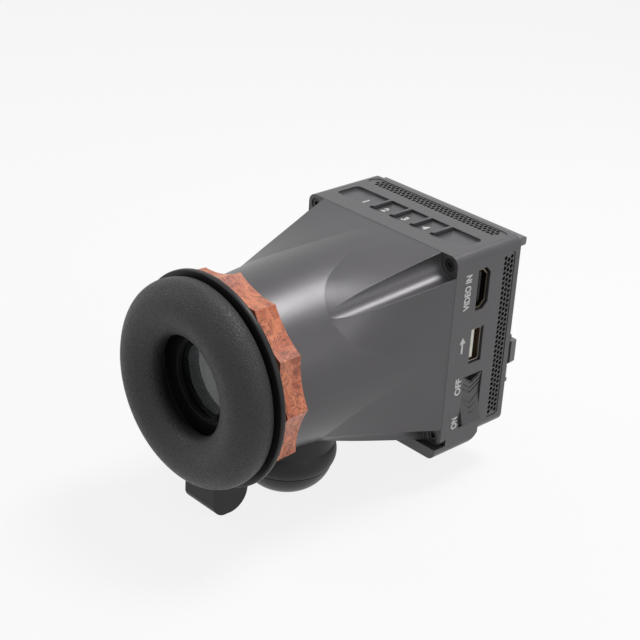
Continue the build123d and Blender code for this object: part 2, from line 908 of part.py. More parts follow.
def video_socket_shell():
    """Folded metal shell of the video socket."""
    face = half_width - socket_setback
    shell = side_extrude(video_outline(0) - video_outline(-video_wall), face - video_depth, face)
    back = side_extrude(video_outline(-video_wall), face - video_depth, face - video_depth + 1)
    return shell + back


def video_socket_tongue():
    """Contact tongue inside the video socket."""
    face = half_width - socket_setback
    half = video_tongue_length / 2
    thick = video_tongue_thickness / 2
    y = video_y + video_tongue_shift
    low = face - video_depth + 1
    return block(low, face - video_tongue_setback, y - thick, y + thick, video_z - half, video_z + half)


def data_socket_shell():
    """Folded metal shell of the data socket."""
    face = half_width - socket_setback
    shell = side_extrude(data_outline(0) - data_outline(-data_wall), face - data_depth, face)
    return shell + side_extrude(data_outline(-data_wall), face - data_depth, face - data_depth + 1)


def data_socket_tongue():
    """Contact tongue inside the data socket."""
    face = half_width - socket_setback
    half = data_tongue_length / 2
    low = face - data_depth + 1
    thick = data_tongue_thickness / 2
    y = data_y - data_tongue_shift
    return block(low, face - data_tongue_setback, y - thick, y + thick, data_z - half, data_z + half)


def power_rocker():
    """Rocker cap: a hollowed thumb face with chevron grooves, drawn level and set at OFF."""
    half = rocker_half_length
    tip = half_width + rocker_end_height
    mid = tip - rocker_hollow
    low = rocker_pivot_x - rocker_heel
    tip_z = half - rocker_tip_taper
    heel_z = half - rocker_heel_taper
    bend_x = low + rocker_taper_height
    flank = Polyline((tip, -half), (bend_x, -tip_z), (low, -heel_z), (low, heel_z), (bend_x, tip_z),
                     (tip, half))
    face_curve = ThreePointArc((tip, half), (mid, 0), (tip, -half))
    profile = Plane.XZ.offset(-(rocker_y - rocker_width / 2)) * (Curve() + [flank, face_curve])
    cap = Pos(0, 0, rocker_z) * push(make_face(profile), (0, 1, 0), rocker_width)
    arm = rocker_width / 2 + 2
    for step in (-0.62, -0.42, -0.22, 0.22, 0.42, 0.62):
        z = rocker_z + step * half
        depth = mid + (tip - mid) * step * step + 0.1
        bar = Box(2 * rocker_ridge, arm, rocker_ridge_width)
        for side in (-1, 1):
            swing = Rot(side * rocker_ridge_turn, 0, 0) * Pos(0, side * arm / 2, 0)
            cap -= Pos(depth, rocker_y, z) * swing * bar
    wing = rocker_width / 2
    past = half + 1
    notch = Polygon((-wing, half), (0, half - rocker_notch), (wing, half), (wing, past), (-wing, past),
                    align=None)
    cap -= extrude(Plane.YZ.offset(mid - rocker_notch_depth) * Pos(rocker_y, rocker_z) * notch, amount=arm)
    cap -= rod((rocker_pivot_x, rocker_y - rocker_width, rocker_z), (0, 1, 0),
               rocker_pin_radius + rocker_pin_gap, 2 * rocker_width)
    tilt = Location((rocker_pivot_x, 0, rocker_z)) * Rot(0, -rocker_throw / 2, 0)
    return tilt * Pos(-rocker_pivot_x, 0, -rocker_z) * cap


def rocker_ear_start():
    """Distance from the rocker's middle to the inner face of each ear."""
    return rocker_width / 2 + ear_gap


def rocker_pin():
    """Steel pin that the rocker turns on."""
    reach = rocker_ear_start() + ear_thickness
    return rod((rocker_pivot_x, rocker_y - reach, rocker_z), (0, 1, 0), rocker_pin_radius, 2 * reach)


def rocker_frame():
    """Switch body behind the rocker, with an ear at each end of the pin."""
    wall = inner_half_width - axial_gap
    floor_x = rocker_pivot_x - rocker_body_depth
    half_z = rocker_half_length - switch_block_margin
    outer = rocker_ear_start() + ear_thickness
    frame = block(floor_x - switch_block_thickness, floor_x, rocker_y - outer, rocker_y + outer,
                  rocker_z - half_z, rocker_z + half_z)
    for sign in (-1, 1):
        y_in = rocker_y + sign * rocker_ear_start()
        y_out = rocker_y + sign * outer
        low_y, high_y = sorted((y_in, y_out))
        frame += block(floor_x, wall, low_y, high_y, rocker_z - ear_reach, rocker_z + ear_reach)
    frame -= rod((rocker_pivot_x, rocker_y - outer, rocker_z), (0, 1, 0), rocker_pin_radius, 2 * outer)
    for sign in (-1, 0, 1):
        z = rocker_z + sign * terminal_pitch
        x = floor_x - switch_block_thickness
        frame += block(x - terminal_length, x, rocker_y - terminal_width / 2, rocker_y + terminal_width / 2,
                       z - terminal_thickness / 2, z + terminal_thickness / 2)
    return frame


def battery_plate():
    """Back plate with a full-width top ledge and four hooks for a slide-on battery."""
    plate = slab(RectangleRounded(2 * plate_half_width, 2 * plate_half_height, 3), box_depth, plate_back)
    ledge = block(-plate_half_width, plate_half_width, box_depth, box_depth + ledge_reach,
                  ledge_top - ledge_height, ledge_top)
    ledge = fillet(ledge.edges().filter_by(Axis.X).sort_by(Axis.Y)[-2:], ledge_edge)
    plate += ledge
    for x, z in corners(hook_x, hook_z):
        inner = math.copysign(hook_x - hook_width / 2, x)
        outer = math.copysign(hook_x + hook_width / 2, x)
        lip = math.copysign(hook_x + hook_width / 2 + hook_lip, x)
        hook_low = z - hook_length / 2
        hook_high = z + hook_length / 2
        hook_top = plate_back + hook_reach
        low, high = sorted((inner, outer))
        plate += block(low, high, plate_back, hook_top, hook_low, hook_high)
        low, high = sorted((outer, lip))
        plate += block(low, high, hook_top - hook_lip_thickness, hook_top, hook_low, hook_high)
    for x, z in corners(plate_screw_x, plate_screw_z):
        plate -= rod((x, box_depth, z), (0, 1, 0), plate_screw_radius + screw_clearance, plate_thickness)
        seat_radius = plate_screw_head_radius + screw_head_gap
        plate -= rod((x, plate_back, z), (0, -1, 0), seat_radius, plate_screw_head_height)
    for low_x, high_x, low_z, high_z in latch_guards():
        plate += block(low_x, high_x, plate_back, plate_back + latch_guard_height, low_z, high_z)
    return plate


def latch_span():
    """X limits of the battery latch."""
    outer = plate_half_width + latch_overhang
    return outer - latch_width, outer


def latch_spring_span():
    """Z limits of the space that the latch spring fills at rest."""
    top = latch_top_z - latch_height
    return top - latch_travel - latch_spring_solid, top


def latch_guards():
    """Outlines of the rail beside the latch and of the stops above and below it."""
    inner, outer = latch_span()
    rail = inner - latch_gap - latch_guard
    low, spring_top = latch_spring_span()
    high = latch_top_z + latch_gap
    edge = plate_half_width - latch_stop_margin
    return [
        (rail, inner - latch_gap, low - latch_guard, high + latch_guard),
        (rail, edge, low - latch_guard, low),
        (rail, edge, high, high + latch_guard),
    ]


def battery_latch():
    """Sliding catch at the right edge, pushed down against its spring to let the battery go."""
    inner, outer = latch_span()
    low = latch_top_z - latch_height
    start = plate_back + latch_gap / 2
    slide = block(inner, outer, start, start + latch_thickness, low, latch_top_z)
    toe = slide.edges().filter_by(Axis.Y).sort_by(lambda e: e.center().X - e.center().Z)[-1]
    slide = chamfer(toe, latch_taper)
    grip = slide.edges().filter_by(Axis.Z).sort_by(lambda e: e.center().X + e.center().Y)[-1]
    return fillet(grip, latch_edge)


def latch_spring():
    """Compression spring between the latch and its lower stop."""
    low, high = latch_spring_span()
    y = plate_back + latch_gap + latch_spring_radius + latch_spring_wire
    x = sum(latch_span()) / 2 - latch_gap
    end = latch_spring_wire + latch_gap / 2
    rise = high - low - 2 * end
    coil = Helix(pitch=rise / latch_spring_turns, height=rise, radius=latch_spring_radius)
    section = Plane(origin=coil @ 0, z_dir=coil % 0) * Circle(latch_spring_wire)
    return Pos(x, y, low + end) * sweep(section, path=coil, is_frenet=True)


def plate_screws():
    """Four screws that hold the battery plate to the box."""
    group = []
    for x, z in corners(plate_screw_x, plate_screw_z):
        top = plate_back - plate_screw_head_height
        head = rod((x, top, z), (0, 1, 0), plate_screw_head_radius, plate_screw_head_height)
        shank_start = rear_inner + screw_tip_gap
        group.append(head + rod((x, shank_start, z), (0, 1, 0), plate_screw_radius, top - shank_start))
    return group


def battery_contacts():
    """Contact block with three blades."""
    half = contact_width / 2
    body = block(-half, half, plate_back, plate_back + contact_depth,
                 contact_z - contact_height / 2, contact_z + contact_height / 2)
    for step in (-1, 0, 1):
        x = step * blade_pitch
        top = contact_z + contact_height / 2
        body += block(x - blade_width / 2, x + blade_width / 2, plate_back + blade_setback,
                      plate_back + blade_setback + blade_thickness, top, top + blade_length)
    return body


def facet_outline(ridge_radius):
    """Outline of the focus ring: hollow facets that meet in ridges."""
    step = 2 * math.pi / ring_facets
    mid_radius = ridge_radius * math.cos(step / 2) - ring_hollow
    arcs = []
    for index in range(ring_facets):
        a = index * step
        ends = [(ridge_radius * math.cos(v), ridge_radius * math.sin(v)) for v in (a, a + step)]
        mid = (mid_radius * math.cos(a + step / 2), mid_radius * math.sin(a + step / 2))
        arcs.append(ThreePointArc(ends[0], mid, ends[1]))
    return make_face(Curve() + arcs)


def focus_ring():
    """Wooden focus ring with hollow facets."""
    rear = front_plane(ring_rear_y) * facet_outline(ring_rear_radius)
    front = front_plane(ring_front_y) * facet_outline(ring_front_radius)
    return loft([front, rear], ruled=True) - disc(ring_front_y, ring_rear_y, ring_bore)


def helical_track(phase):
    """Round-bottomed helical track for one follower pin."""
    turn = focus_angle / 360
    coil = Helix(pitch=track_lead, height=track_lead * turn, radius=sleeve_bore)
    section = Plane(origin=coil @ 0, z_dir=coil % 0) * Circle(pin_radius + pin_gap)
    cut = sweep(section, path=coil, is_frenet=True)
    for end in (0, 1):
        cut += Pos(*(coil @ end)) * Sphere(pin_radius + pin_gap)
    centred = Pos(0, 0, -track_lead * turn / 2) * Rot(0, 0, -focus_angle / 2 + phase) * cut
    return Pos(0, pin_y, 0) * Rot(-90, 0, 0) * centred


def ring_sleeve():
    """Metal sleeve inside the wooden ring, with a helical track for each pin."""
    sleeve = disc(ring_front_y, ring_rear_y, ring_bore, sleeve_bore)
    for phase in (0, 180):
        sleeve -= helical_track(phase)
    return sleeve


def ring_retainer():
    """Threaded ring that keeps the focus ring on the neck."""
    return disc(neck_shoulder_y, neck_shoulder_y + retainer_width, retainer_radius, neck_radius)


def lens_cell():
    """Sliding tube that carries the eyepiece lenses."""
    cell = disc(cell_front_y, cell_rear_y, cell_radius, cell_shoulder_bore)
    cell -= disc(cell_front_y, shoulder_y(), cell_bore)
    cell -= disc(shoulder_y() + cell_shoulder_width, cell_rear_y, cell_bore + 1)
    for sign in (-1, 1):
        seat = (sign * (cell_radius - pin_seat_depth), pin_y, 0)
        cell -= rod(seat, (sign, 0, 0), pin_radius, 2 * pin_seat_depth)
    return cell


def shoulder_y():
    """Front face of the inner shoulder that the rear lens rests on."""
    return cell_front_y + 2 * lens_edge + lens_spacer_width


def lens_cap(y, side, sag, clear_radius):
    """Round cap of a lens on one side of its edge, cut from a ball."""
    ball = (clear_radius ** 2 + sag ** 2) / (2 * sag)
    centre_y = y + side * (sag - ball)
    face_y = y + side * sag
    keep = disc(min(y, face_y), max(y, face_y), clear_radius + 1)
    return Pos(0, centre_y, 0) * Sphere(ball) & keep


def lens_element(front_y, front_sag, rear_sag, clear_radius):
    """A ground lens with a flat seat at its rim and a curved face each side."""
    body = disc(front_y, front_y + lens_edge, cell_bore - lens_rim_gap)
    body += lens_cap(front_y, -1, front_sag, clear_radius)
    return body + lens_cap(front_y + lens_edge, 1, rear_sag, clear_radius)


def front_lens():
    """Lens nearest the eye."""
    return lens_element(cell_front_y, lens_front_sag, lens_spacer_width / 2 - lens_air_gap,
                        sight_radius - lens_front_margin)


def rear_lens():
    """Lens nearest the display."""
    return lens_element(cell_front_y + lens_edge + lens_spacer_width, lens_spacer_width / 2 - lens_air_gap,
                        lens_rear_sag, cell_shoulder_bore - lens_rear_margin)


def lens_spacer():
    """Ring that holds the two lenses apart."""
    low = cell_front_y + lens_edge
    return disc(low, low + lens_spacer_width, cell_bore - lens_rim_gap, lens_spacer_bore)


def sight_ring():
    """Coned ring that closes the cell around the clear opening."""
    edge_y = cell_front_y - sight_edge
    rim = Polyline((sight_radius, cell_front_y), (sight_radius, sight_front_y),
                   (sight_radius + sight_rim, sight_front_y), (sight_outer_radius, edge_y),
                   (sight_outer_radius, cell_front_y), close=True)
    return turned_on_axis(rim)


def follower_pins():
    """Two pins that carry the sleeve's tracks to the lens cell."""
    group = []
    for sign in (-1, 1):
        start = cell_radius - pin_seat_depth
        shank = rod((sign * start, pin_y, 0), (sign, 0, 0), pin_radius, sleeve_bore - start)
        group.append(shank + Pos(sign * sleeve_bore, pin_y, 0) * Sphere(pin_radius))
    return group


def eyecup_clip():
    """Snap ring that keeps the eyecup on the neck."""
    return disc(neck_tip_y, neck_tip_y + clip_thickness, clip_radius, neck_tip_radius)


def eyecup_flange():
    """Carrier ring of the eyecup, with a raised seat for the pad."""
    bore = neck_tip_radius + running_gap
    flange = disc(flange_front_y, flange_rear_y - axial_gap, flange_radius, bore)
    flange = fillet(flange.edges().filter_by(GeomType.CIRCLE).sort_by(SortBy.RADIUS)[-2:], flange_edge)
    return flange + disc(pad_back_y, flange_front_y, flange_step_outer, flange_step_inner)


def eyecup_pad():
    """Padded eye cushion: a full section turned into a ring, flat where it meets its seat."""
    places = [
        (pad_seat_outer, 0),
        (pad_outer_radius, pad_outer_depth),
        (pad_shoulder_radius, pad_shoulder_depth),
        (pad_crown_radius, pad_depth),
        (pad_brow_radius, pad_brow_depth),
        (pad_hole_radius, pad_hole_depth),
        (pad_lip_radius, pad_lip_depth),
        (pad_seat_inner, 0),
    ]
    points = [(radius, pad_back_y - depth) for radius, depth in places]
    arcs = [ThreePointArc(points[step], points[step + 1], points[step + 2]) for step in (0, 2, 4)]
    return turned_on_axis(Curve() + arcs + [Polyline(points[6], points[7], points[0])])


def eyecup_tab():
    """Finger tab that hangs from the bottom of the flange."""
    top = -flange_radius + tab_top_lap
    low = -flange_radius - tab_drop
    front = flange_front_y - tab_front
    rear = flange_rear_y + tab_rear
    toe_top = (front, low + tab_toe_height)
    sole = (front + tab_toe_length, low)
    heel_top = (rear - 0.4, low + tab_heel_height)
    crown = (rear - 1.6, top - 0.5)
    face = Line((front, top), toe_top)
    toe = ThreePointArc(toe_top, (front + 2.2, low + 1.0), sole)
    heel = ThreePointArc(sole, (rear - 2.6, low + 2.2), heel_top)
    back = ThreePointArc(heel_top, (rear - 0.2, low + 9.6), crown)
    roof = Polyline(crown, (flange_rear_y + 0.4, top - 0.5), (flange_rear_y + 0.4, top), (front, top))
    side = make_face(Plane.YZ * (Curve() + [face, toe, heel, back, roof]))
    tab = extrude(side, amount=tab_width / 2, both=True)
    return tab - disc(front - 1, rear + 1, flange_radius)


def foot_boss():
    """Metal boss under the barrel that carries the turning foot."""
    boss = rod((0, foot_y, -boss_foot_bottom), (0, 0, 1), boss_foot_radius, boss_foot_bottom - boss_root)
    boss -= funnel_skin()
    boss = boss.solids().sort_by(Axis.Z)[0]
    boss -= rod((0, foot_y, -boss_foot_bottom), (0, 0, 1), pivot_radius, pivot_length)
    for sign in (-1, 1):
        top = (sign * foot_screw_spread, foot_y, foot_screw_seat())
        boss -= rod(top, (0, 0, -1), foot_screw_radius, foot_screw_length)
    return boss


def foot_collar():
    """Bulging rubber collar round the boss."""
    top_radius = collar_end_radius + collar_top_flare
    belly = (collar_radius, -(collar_bottom + collar_top) / 2 + collar_belly_rise)
    bulge = ThreePointArc((collar_end_radius, -collar_bottom), belly, (top_radius, -collar_top))
    rest = Polyline((top_radius, -collar_top), (top_radius, -boss_root), (boss_foot_radius, -boss_root),
                    (boss_foot_radius, -collar_bottom), (collar_end_radius, -collar_bottom))
    collar = turned_upright(Curve() + [bulge, rest], foot_y)
    collar -= funnel_skin()
    return collar.solids().sort_by(Axis.Z)[0]


def foot_cup():
    """Dome-shaped foot that turns under the boss and takes the mounting screw."""
    dome = ThreePointArc((foot_top_radius, -foot_top), (foot_mid_radius, foot_bottom + foot_mid_height),
                         (foot_flat_radius, foot_bottom))
    bore = pivot_radius + running_gap
    web_low = -foot_top - web_thickness
    rest = Polyline((foot_flat_radius, foot_bottom), (insert_radius, foot_bottom), (insert_radius, web_low),
                    (bore, web_low), (bore, -foot_top), (foot_top_radius, -foot_top))
    return turned_upright(Curve() + [dome, rest], foot_y)


def foot_insert():
    """Steel insert with the mounting thread, drawn at the thread's inner radius."""
    start = (0, foot_y, foot_bottom)
    body = rod(start, (0, 0, 1), insert_radius, insert_length)
    return body - rod(start, (0, 0, 1), thread_quarter_radius, insert_length)


def friction_washer():
    """Slippery washer between the boss and the foot."""
    low = -foot_top + axial_gap
    height = foot_top - boss_foot_bottom - 2 * axial_gap
    start = (0, foot_y, low)
    ring = rod(start, (0, 0, 1), friction_washer_radius, height)
    return ring - rod(start, (0, 0, 1), pivot_radius + running_gap, height)


def spring_washer():
    """Spring washer under the head of the pivot bolt."""
    top = -foot_top - web_thickness - axial_gap
    start = (0, foot_y, top - spring_washer_thickness)
    ring = rod(start, (0, 0, 1), pivot_head_radius, spring_washer_thickness)
    return ring - rod(start, (0, 0, 1), pivot_radius + running_gap, spring_washer_thickness)


def pivot_bolt():
    """Shoulder bolt that the foot turns on."""
    head_top = -foot_top - web_thickness - axial_gap - spring_washer_thickness
    head = rod((0, foot_y, head_top), (0, 0, -1), pivot_head_radius, pivot_head_height)
    shank_top = -boss_foot_bottom + pivot_length - 1
    return head + rod((0, foot_y, head_top), (0, 0, 1), pivot_radius, shank_top - head_top)


def foot_screws():
    """Two screws from inside the barrel into the boss."""
    group = []
    for sign in (-1, 1):
        top = (sign * foot_screw_spread, foot_y, foot_screw_seat())
        shank = rod(top, (0, 0, -1), foot_screw_radius, foot_screw_length - foot_screw_tip_gap)
        group.append(shank + rod(top, (0, 0, 1), foot_screw_head_radius, foot_screw_head_height))
    return group


def chin_insert():
    """Steel insert with a second mounting thread in the box's lower front."""
    start = (0, chin_insert_y, chin_bottom)
    body = rod(start, (0, 0, 1), chin_insert_radius, chin_insert_length)
    return body - rod(start, (0, 0, 1), thread_quarter_radius, chin_insert_length)


parts = {
    "rear_housing": rear_housing,
    "funnel_housing": funnel_housing,
    "funnel_screws": funnel_screws,
    "top_vent_grille": top_vent_grille,
    "side_vent_grille": side_vent_grille,
    "key_switches": key_switches,
    "key_board": key_board,
    "key_board_screws": key_board_screws,
    "display_gasket": display_gasket,
    "display_tray": display_tray,
    "display_panel": display_panel,
    "backlight_unit": backlight_unit,
    "display_backplate": display_backplate,
    "display_flex": display_flex,
    "main_board": main_board,
    "board_screws": board_screws,
    "video_processor": video_processor,
    "heat_sink": heat_sink,
    "video_socket_shell": video_socket_shell,
    "video_socket_tongue": video_socket_tongue,
    "data_socket_shell": data_socket_shell,
    "data_socket_tongue": data_socket_tongue,
    "power_rocker": power_rocker,
    "rocker_pin": rocker_pin,
    "rocker_frame": rocker_frame,
    "battery_plate": battery_plate,
    "battery_latch": battery_latch,
    "latch_spring": latch_spring,
    "plate_screws": plate_screws,
    "battery_contacts": battery_contacts,
    "focus_ring": focus_ring,
    "ring_sleeve": ring_sleeve,
    "ring_retainer": ring_retainer,
    "lens_cell": lens_cell,
    "front_lens": front_lens,
    "rear_lens": rear_lens,
    "lens_spacer": lens_spacer,
    "sight_ring": sight_ring,
    "follower_pins": follower_pins,
    "eyecup_clip": eyecup_clip,
    "eyecup_flange": eyecup_flange,
    "eyecup_pad": eyecup_pad,
    "eyecup_tab": eyecup_tab,
    "foot_boss": foot_boss,
    "foot_collar": foot_collar,
    "foot_cup": foot_cup,
    "foot_insert": foot_insert,
    "friction_washer": friction_washer,
    "spring_washer": spring_washer,
    "pivot_bolt": pivot_bolt,
    "foot_screws": foot_screws,
    "chin_insert": chin_insert,
}
for index in range(key_count):
    parts[f"function_key_{index + 1}"] = lambda index=index: function_key(index)

os.makedirs("parts", exist_ok=True)
place = Pos(0, foot_to_box, axis_height)
for name, make in parts.items():
    shape = make()
    if isinstance(shape, list):
        solids = [solid for item in shape for solid in item.solids()]
    else:
        solids = list(shape.solids())
    moved = [place * solid for solid in solids]
    export_step(moved[0] if len(moved) == 1 else Compound(children=moved), f"parts/{name}.step")
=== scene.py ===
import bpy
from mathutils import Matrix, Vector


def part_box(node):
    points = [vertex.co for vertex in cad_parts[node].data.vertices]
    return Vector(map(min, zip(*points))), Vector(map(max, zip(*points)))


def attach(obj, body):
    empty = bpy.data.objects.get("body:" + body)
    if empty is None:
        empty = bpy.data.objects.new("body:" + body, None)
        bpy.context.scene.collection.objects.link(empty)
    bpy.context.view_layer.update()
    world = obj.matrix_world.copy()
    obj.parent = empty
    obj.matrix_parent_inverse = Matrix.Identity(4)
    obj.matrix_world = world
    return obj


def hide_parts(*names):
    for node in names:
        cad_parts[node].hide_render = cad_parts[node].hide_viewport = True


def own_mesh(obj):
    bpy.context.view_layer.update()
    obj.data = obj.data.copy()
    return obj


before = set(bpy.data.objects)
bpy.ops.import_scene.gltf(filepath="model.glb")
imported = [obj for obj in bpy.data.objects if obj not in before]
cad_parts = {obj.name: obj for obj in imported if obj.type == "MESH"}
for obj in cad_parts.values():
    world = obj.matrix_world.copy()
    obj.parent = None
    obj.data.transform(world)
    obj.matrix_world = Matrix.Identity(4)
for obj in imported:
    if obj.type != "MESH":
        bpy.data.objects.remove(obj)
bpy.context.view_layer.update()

# Looks of the electronic viewfinder: finishes, padded eyecup, latch spring, lettering, studio and camera.
# Lengths are metres. Sizes given in millimetres are written as a number times MM.
import logging
import math
from collections.abc import Sequence
from dataclasses import dataclass, field
from enum import Enum

import bmesh
import bpy
from mathutils import Matrix, Vector

LOG = logging.getLogger("viewfinder")
MM = 0.001

# The optical frame has its Y axis on the optical axis and Y = 0 where the funnel leaves its flange.
OPTICAL_ORIGIN = Vector((0.0, 40.6 * MM, 54.7 * MM))

Colour = tuple[float, float, float]
Spot = tuple[float, float]
Arc = tuple[Spot, Spot, Spot]
WHITE: Colour = (1.0, 1.0, 1.0)


def from_optical(x: float, y: float, z: float) -> Vector:
    """A place given in millimetres in the optical frame, in metres in the row frame."""
    return OPTICAL_ORIGIN + Vector((x, y, z)) * MM


class Wire:
    """An output socket that can be used in sums with other wires and with numbers."""

    def __init__(self, graph: "Graph", socket: bpy.types.NodeSocket) -> None:
        """Keeps the graph so that a sum can add its nodes to it."""
        self.graph = graph
        self.socket = socket

    def _sum(self, operation: str, first: "Wire | float", second: "Wire | float") -> "Wire":
        """Adds a Math node for one operation on two values."""
        return self.graph.node("ShaderNodeMath", {"operation": operation}, {0: first, 1: second})

    def __add__(self, other: "Wire | float") -> "Wire":
        """self + other"""
        return self._sum("ADD", self, other)

    __radd__ = __add__

    def __mul__(self, other: "Wire | float") -> "Wire":
        """self * other"""
        return self._sum("MULTIPLY", self, other)

    __rmul__ = __mul__

    def __sub__(self, other: "Wire | float") -> "Wire":
        """self - other"""
        return self._sum("SUBTRACT", self, other)

    def __rsub__(self, other: "Wire | float") -> "Wire":
        """other - self"""
        return self._sum("SUBTRACT", other, self)

    def __truediv__(self, other: "Wire | float") -> "Wire":
        """self / other"""
        return self._sum("DIVIDE", self, other)

    def __rtruediv__(self, other: "Wire | float") -> "Wire":
        """other / self"""
        return self._sum("DIVIDE", other, self)

    def clipped(self) -> "Wire":
        """The value held between 0 and 1."""
        return self.graph.node("ShaderNodeClamp", {}, {"Value": self})

    def folded(self) -> "Wire":
        """The value sent to and fro between 0 and 0.5, which draws contour lines of a smooth field."""
        return self.graph.node("ShaderNodeMath", {"operation": "PINGPONG"}, {0: self, 1: 0.5})

    def beside(self, output: str) -> "Wire":
        """Another output of the node that this wire leaves."""
        return Wire(self.graph, self.socket.node.outputs[output])


class CellField(Enum):
    """What a cell pattern measures: the distance to the middle or to the edge of its cells."""

    MIDDLE = "F1"
    EDGE = "DISTANCE_TO_EDGE"


class Graph:
    """The node tree of one material or of the surroundings."""

    def __init__(self, owner: bpy.types.Material | bpy.types.World) -> None:
        """Clears the tree that the owner has.

        Args:
            owner: the material or the world that the tree belongs to.
        """
        owner.use_nodes = True
        self.tree = owner.node_tree
        self.tree.nodes.clear()

    def _feed(self, socket: bpy.types.NodeSocket, value: object) -> None:
        """Links a wire to a socket, or writes a plain value on it.

        Args:
            socket: an input of a node.
            value: a wire, a number, a vector, or a colour with or without its fourth part.
        """
        if isinstance(value, Wire):
            self.tree.links.new(value.socket, socket)
        elif isinstance(value, (tuple, list)) and socket.type == "RGBA" and len(value) == 3:
            socket.default_value = (*value, 1.0)
        else:
            socket.default_value = value

    def node(self, kind: str, settings: dict | None = None, inputs: dict | None = None,
             output: int | str = 0) -> Wire | None:
        """Adds any node.

        Args:
            kind: Blender's type name of the node.
            settings: the node's own settings, set first. "stops" holds a ramp's places and colours.
            inputs: values or wires, by socket name or number.
            output: the socket that the returned wire leaves from.

        Returns:
            A wire from the chosen output, or nothing from a node that ends the tree.
        """
        made = self.tree.nodes.new(kind)
        for name, value in (settings or {}).items():
            if name == "stops":
                ramp = made.color_ramp
                while len(ramp.elements) < len(value):
                    ramp.elements.new(0.5)
                for element, (place, colour) in zip(ramp.elements, value):
                    element.position = place
                    element.color = (*colour, 1.0)
            else:
                setattr(made, name, value)
        for name, value in (inputs or {}).items():
            self._feed(made.inputs[name], value)
        return Wire(self, made.outputs[output]) if made.outputs else None

    def place(self) -> Wire:
        """Object coordinates, which are metres in the row frame."""
        return self.node("ShaderNodeTexCoord", output="Object")

    def vector(self, operation: str, first: object, second: object, output: int | str = 0) -> Wire:
        """A Vector Math node on two vectors."""
        return self.node("ShaderNodeVectorMath", {"operation": operation}, {0: first, 1: second}, output)

    def stretched(self, place: Wire, scale: Sequence[float]) -> Wire:
        """A place with each axis multiplied by its own number."""
        return self.vector("MULTIPLY", place, tuple(scale))

    def warped(self, place: Wire, size: float, reach: float) -> Wire:
        """A place pushed about by a noise, so that a pattern on it wanders.

        Args:
            place: the place before the push.
            size: size of the noise's lumps, in metres.
            reach: the most that a place could move, in metres.

        Returns:
            The place after the push.
        """
        push = self.speckle(place, size, detail=3.0, output="Color")
        push = self.vector("SUBTRACT", push, (0.5, 0.5, 0.5))
        push = self.node("ShaderNodeVectorMath", {"operation": "SCALE"}, {0: push, "Scale": reach})
        return self.vector("ADD", place, push)

    def speckle(self, place: Wire, size: float, detail: float = 2.0, roughness: float = 0.5,
                output: int | str = 0) -> Wire:
        """Noise whose lumps are about one size, in metres, from 0 to 1."""
        inputs = {"Vector": place, "Scale": 1.0 / size, "Detail": detail, "Roughness": roughness}
        return self.node("ShaderNodeTexNoise", {"noise_dimensions": "3D"}, inputs, output)

    def cells(self, place: Wire, size: float, measured: CellField = CellField.MIDDLE) -> Wire:
        """Cells of about one size, in metres, with the distance to their middle or edge."""
        return self.node("ShaderNodeTexVoronoi", {"feature": measured.value},
                         {"Vector": place, "Scale": 1.0 / size}, "Distance")

    def blend(self, share: Wire | float, first: object, second: object) -> Wire:
        """A colour between two colours."""
        return self.node("ShaderNodeMix", {"data_type": "RGBA"}, {0: share, 6: first, 7: second}, 2)

    def rescale(self, value: Wire, low: float, high: float) -> Wire:
        """A value moved smoothly from a range to 0 and 1, and held between them."""
        return self.node("ShaderNodeMapRange", {"interpolation_type": "SMOOTHSTEP"},
                         {"Value": value, "From Min": low, "From Max": high})

    def round_edge(self, radius: float) -> Wire:
        """The surface normal as if sharp edges were rounded."""
        return self.node("ShaderNodeBevel", {"samples": 4}, {"Radius": radius})

    def edge_share(self, radius: float, gain: float) -> Wire:
        """How near the surface is to a sharp edge.

        Args:
            radius: how far an edge reaches, in metres.
            gain: how fast the share grows towards the edge.

        Returns:
            A share from 0 to 1.
        """
        normal = self.node("ShaderNodeNewGeometry", output="Normal")
        same = self.vector("DOT_PRODUCT", self.round_edge(radius), normal, "Value")
        return ((1.0 - same) * gain).clipped()

    def relief(self, height: Wire, depth: float, normal: Wire | None = None) -> Wire:
        """A bump of a real depth.

        Args:
            height: the height from 0 to 1.
            depth: what a height of 1 stands for, in metres.
            normal: the normal that the bump starts from, where it isn't the surface's own.

        Returns:
            The bumped normal.
        """
        inputs: dict = {"Height": height, "Distance": depth, "Strength": 1.0}
        if normal is not None:
            inputs["Normal"] = normal
        return self.node("ShaderNodeBump", {}, inputs)

    def principled(self, **inputs: object) -> Wire:
        """A Principled shader; an underscore in an input's name stands for a space."""
        named = {name.replace("_", " "): value for name, value in inputs.items()}
        return self.node("ShaderNodeBsdfPrincipled", {}, named)

    def shade(self, **inputs: object) -> None:
        """Covers the surface with a Principled shader."""
        self.end(self.principled(**inputs))

    def end(self, shader: Wire, kind: str = "ShaderNodeOutputMaterial") -> None:
        """Leads a shader to the output that ends the tree."""
        self.node(kind, {}, {"Surface": shader})

    def seen_white(self) -> Wire:
        """1 for rays from the camera, a mirror or a glass, which see plain white, and 0 for the rest."""
        camera = self.node("ShaderNodeLightPath", output="Is Camera Ray")
        return (camera + camera.beside("Is Glossy Ray") + camera.beside("Is Transmission Ray")).clipped()


def scaled(colour: Colour, factor: float) -> Colour:
    """A colour made darker or lighter."""
    return tuple(min(1.0, part * factor) for part in colour)


@dataclass(frozen=True)
class Finish:
    """What every finish has: a name and the record's material slot that it paints."""

    name: str
    slot: str

    def material(self) -> bpy.types.Material:
        """The Blender material of this finish, made once.

        Returns:
            The material.
        """
        found = bpy.data.materials.get(self.name)
        if found is None:
            found = bpy.data.materials.new(self.name)
            self.paint(Graph(found))
        return found

    def paint(self, graph: Graph) -> None:
        """Builds the nodes of the finish."""
        raise NotImplementedError


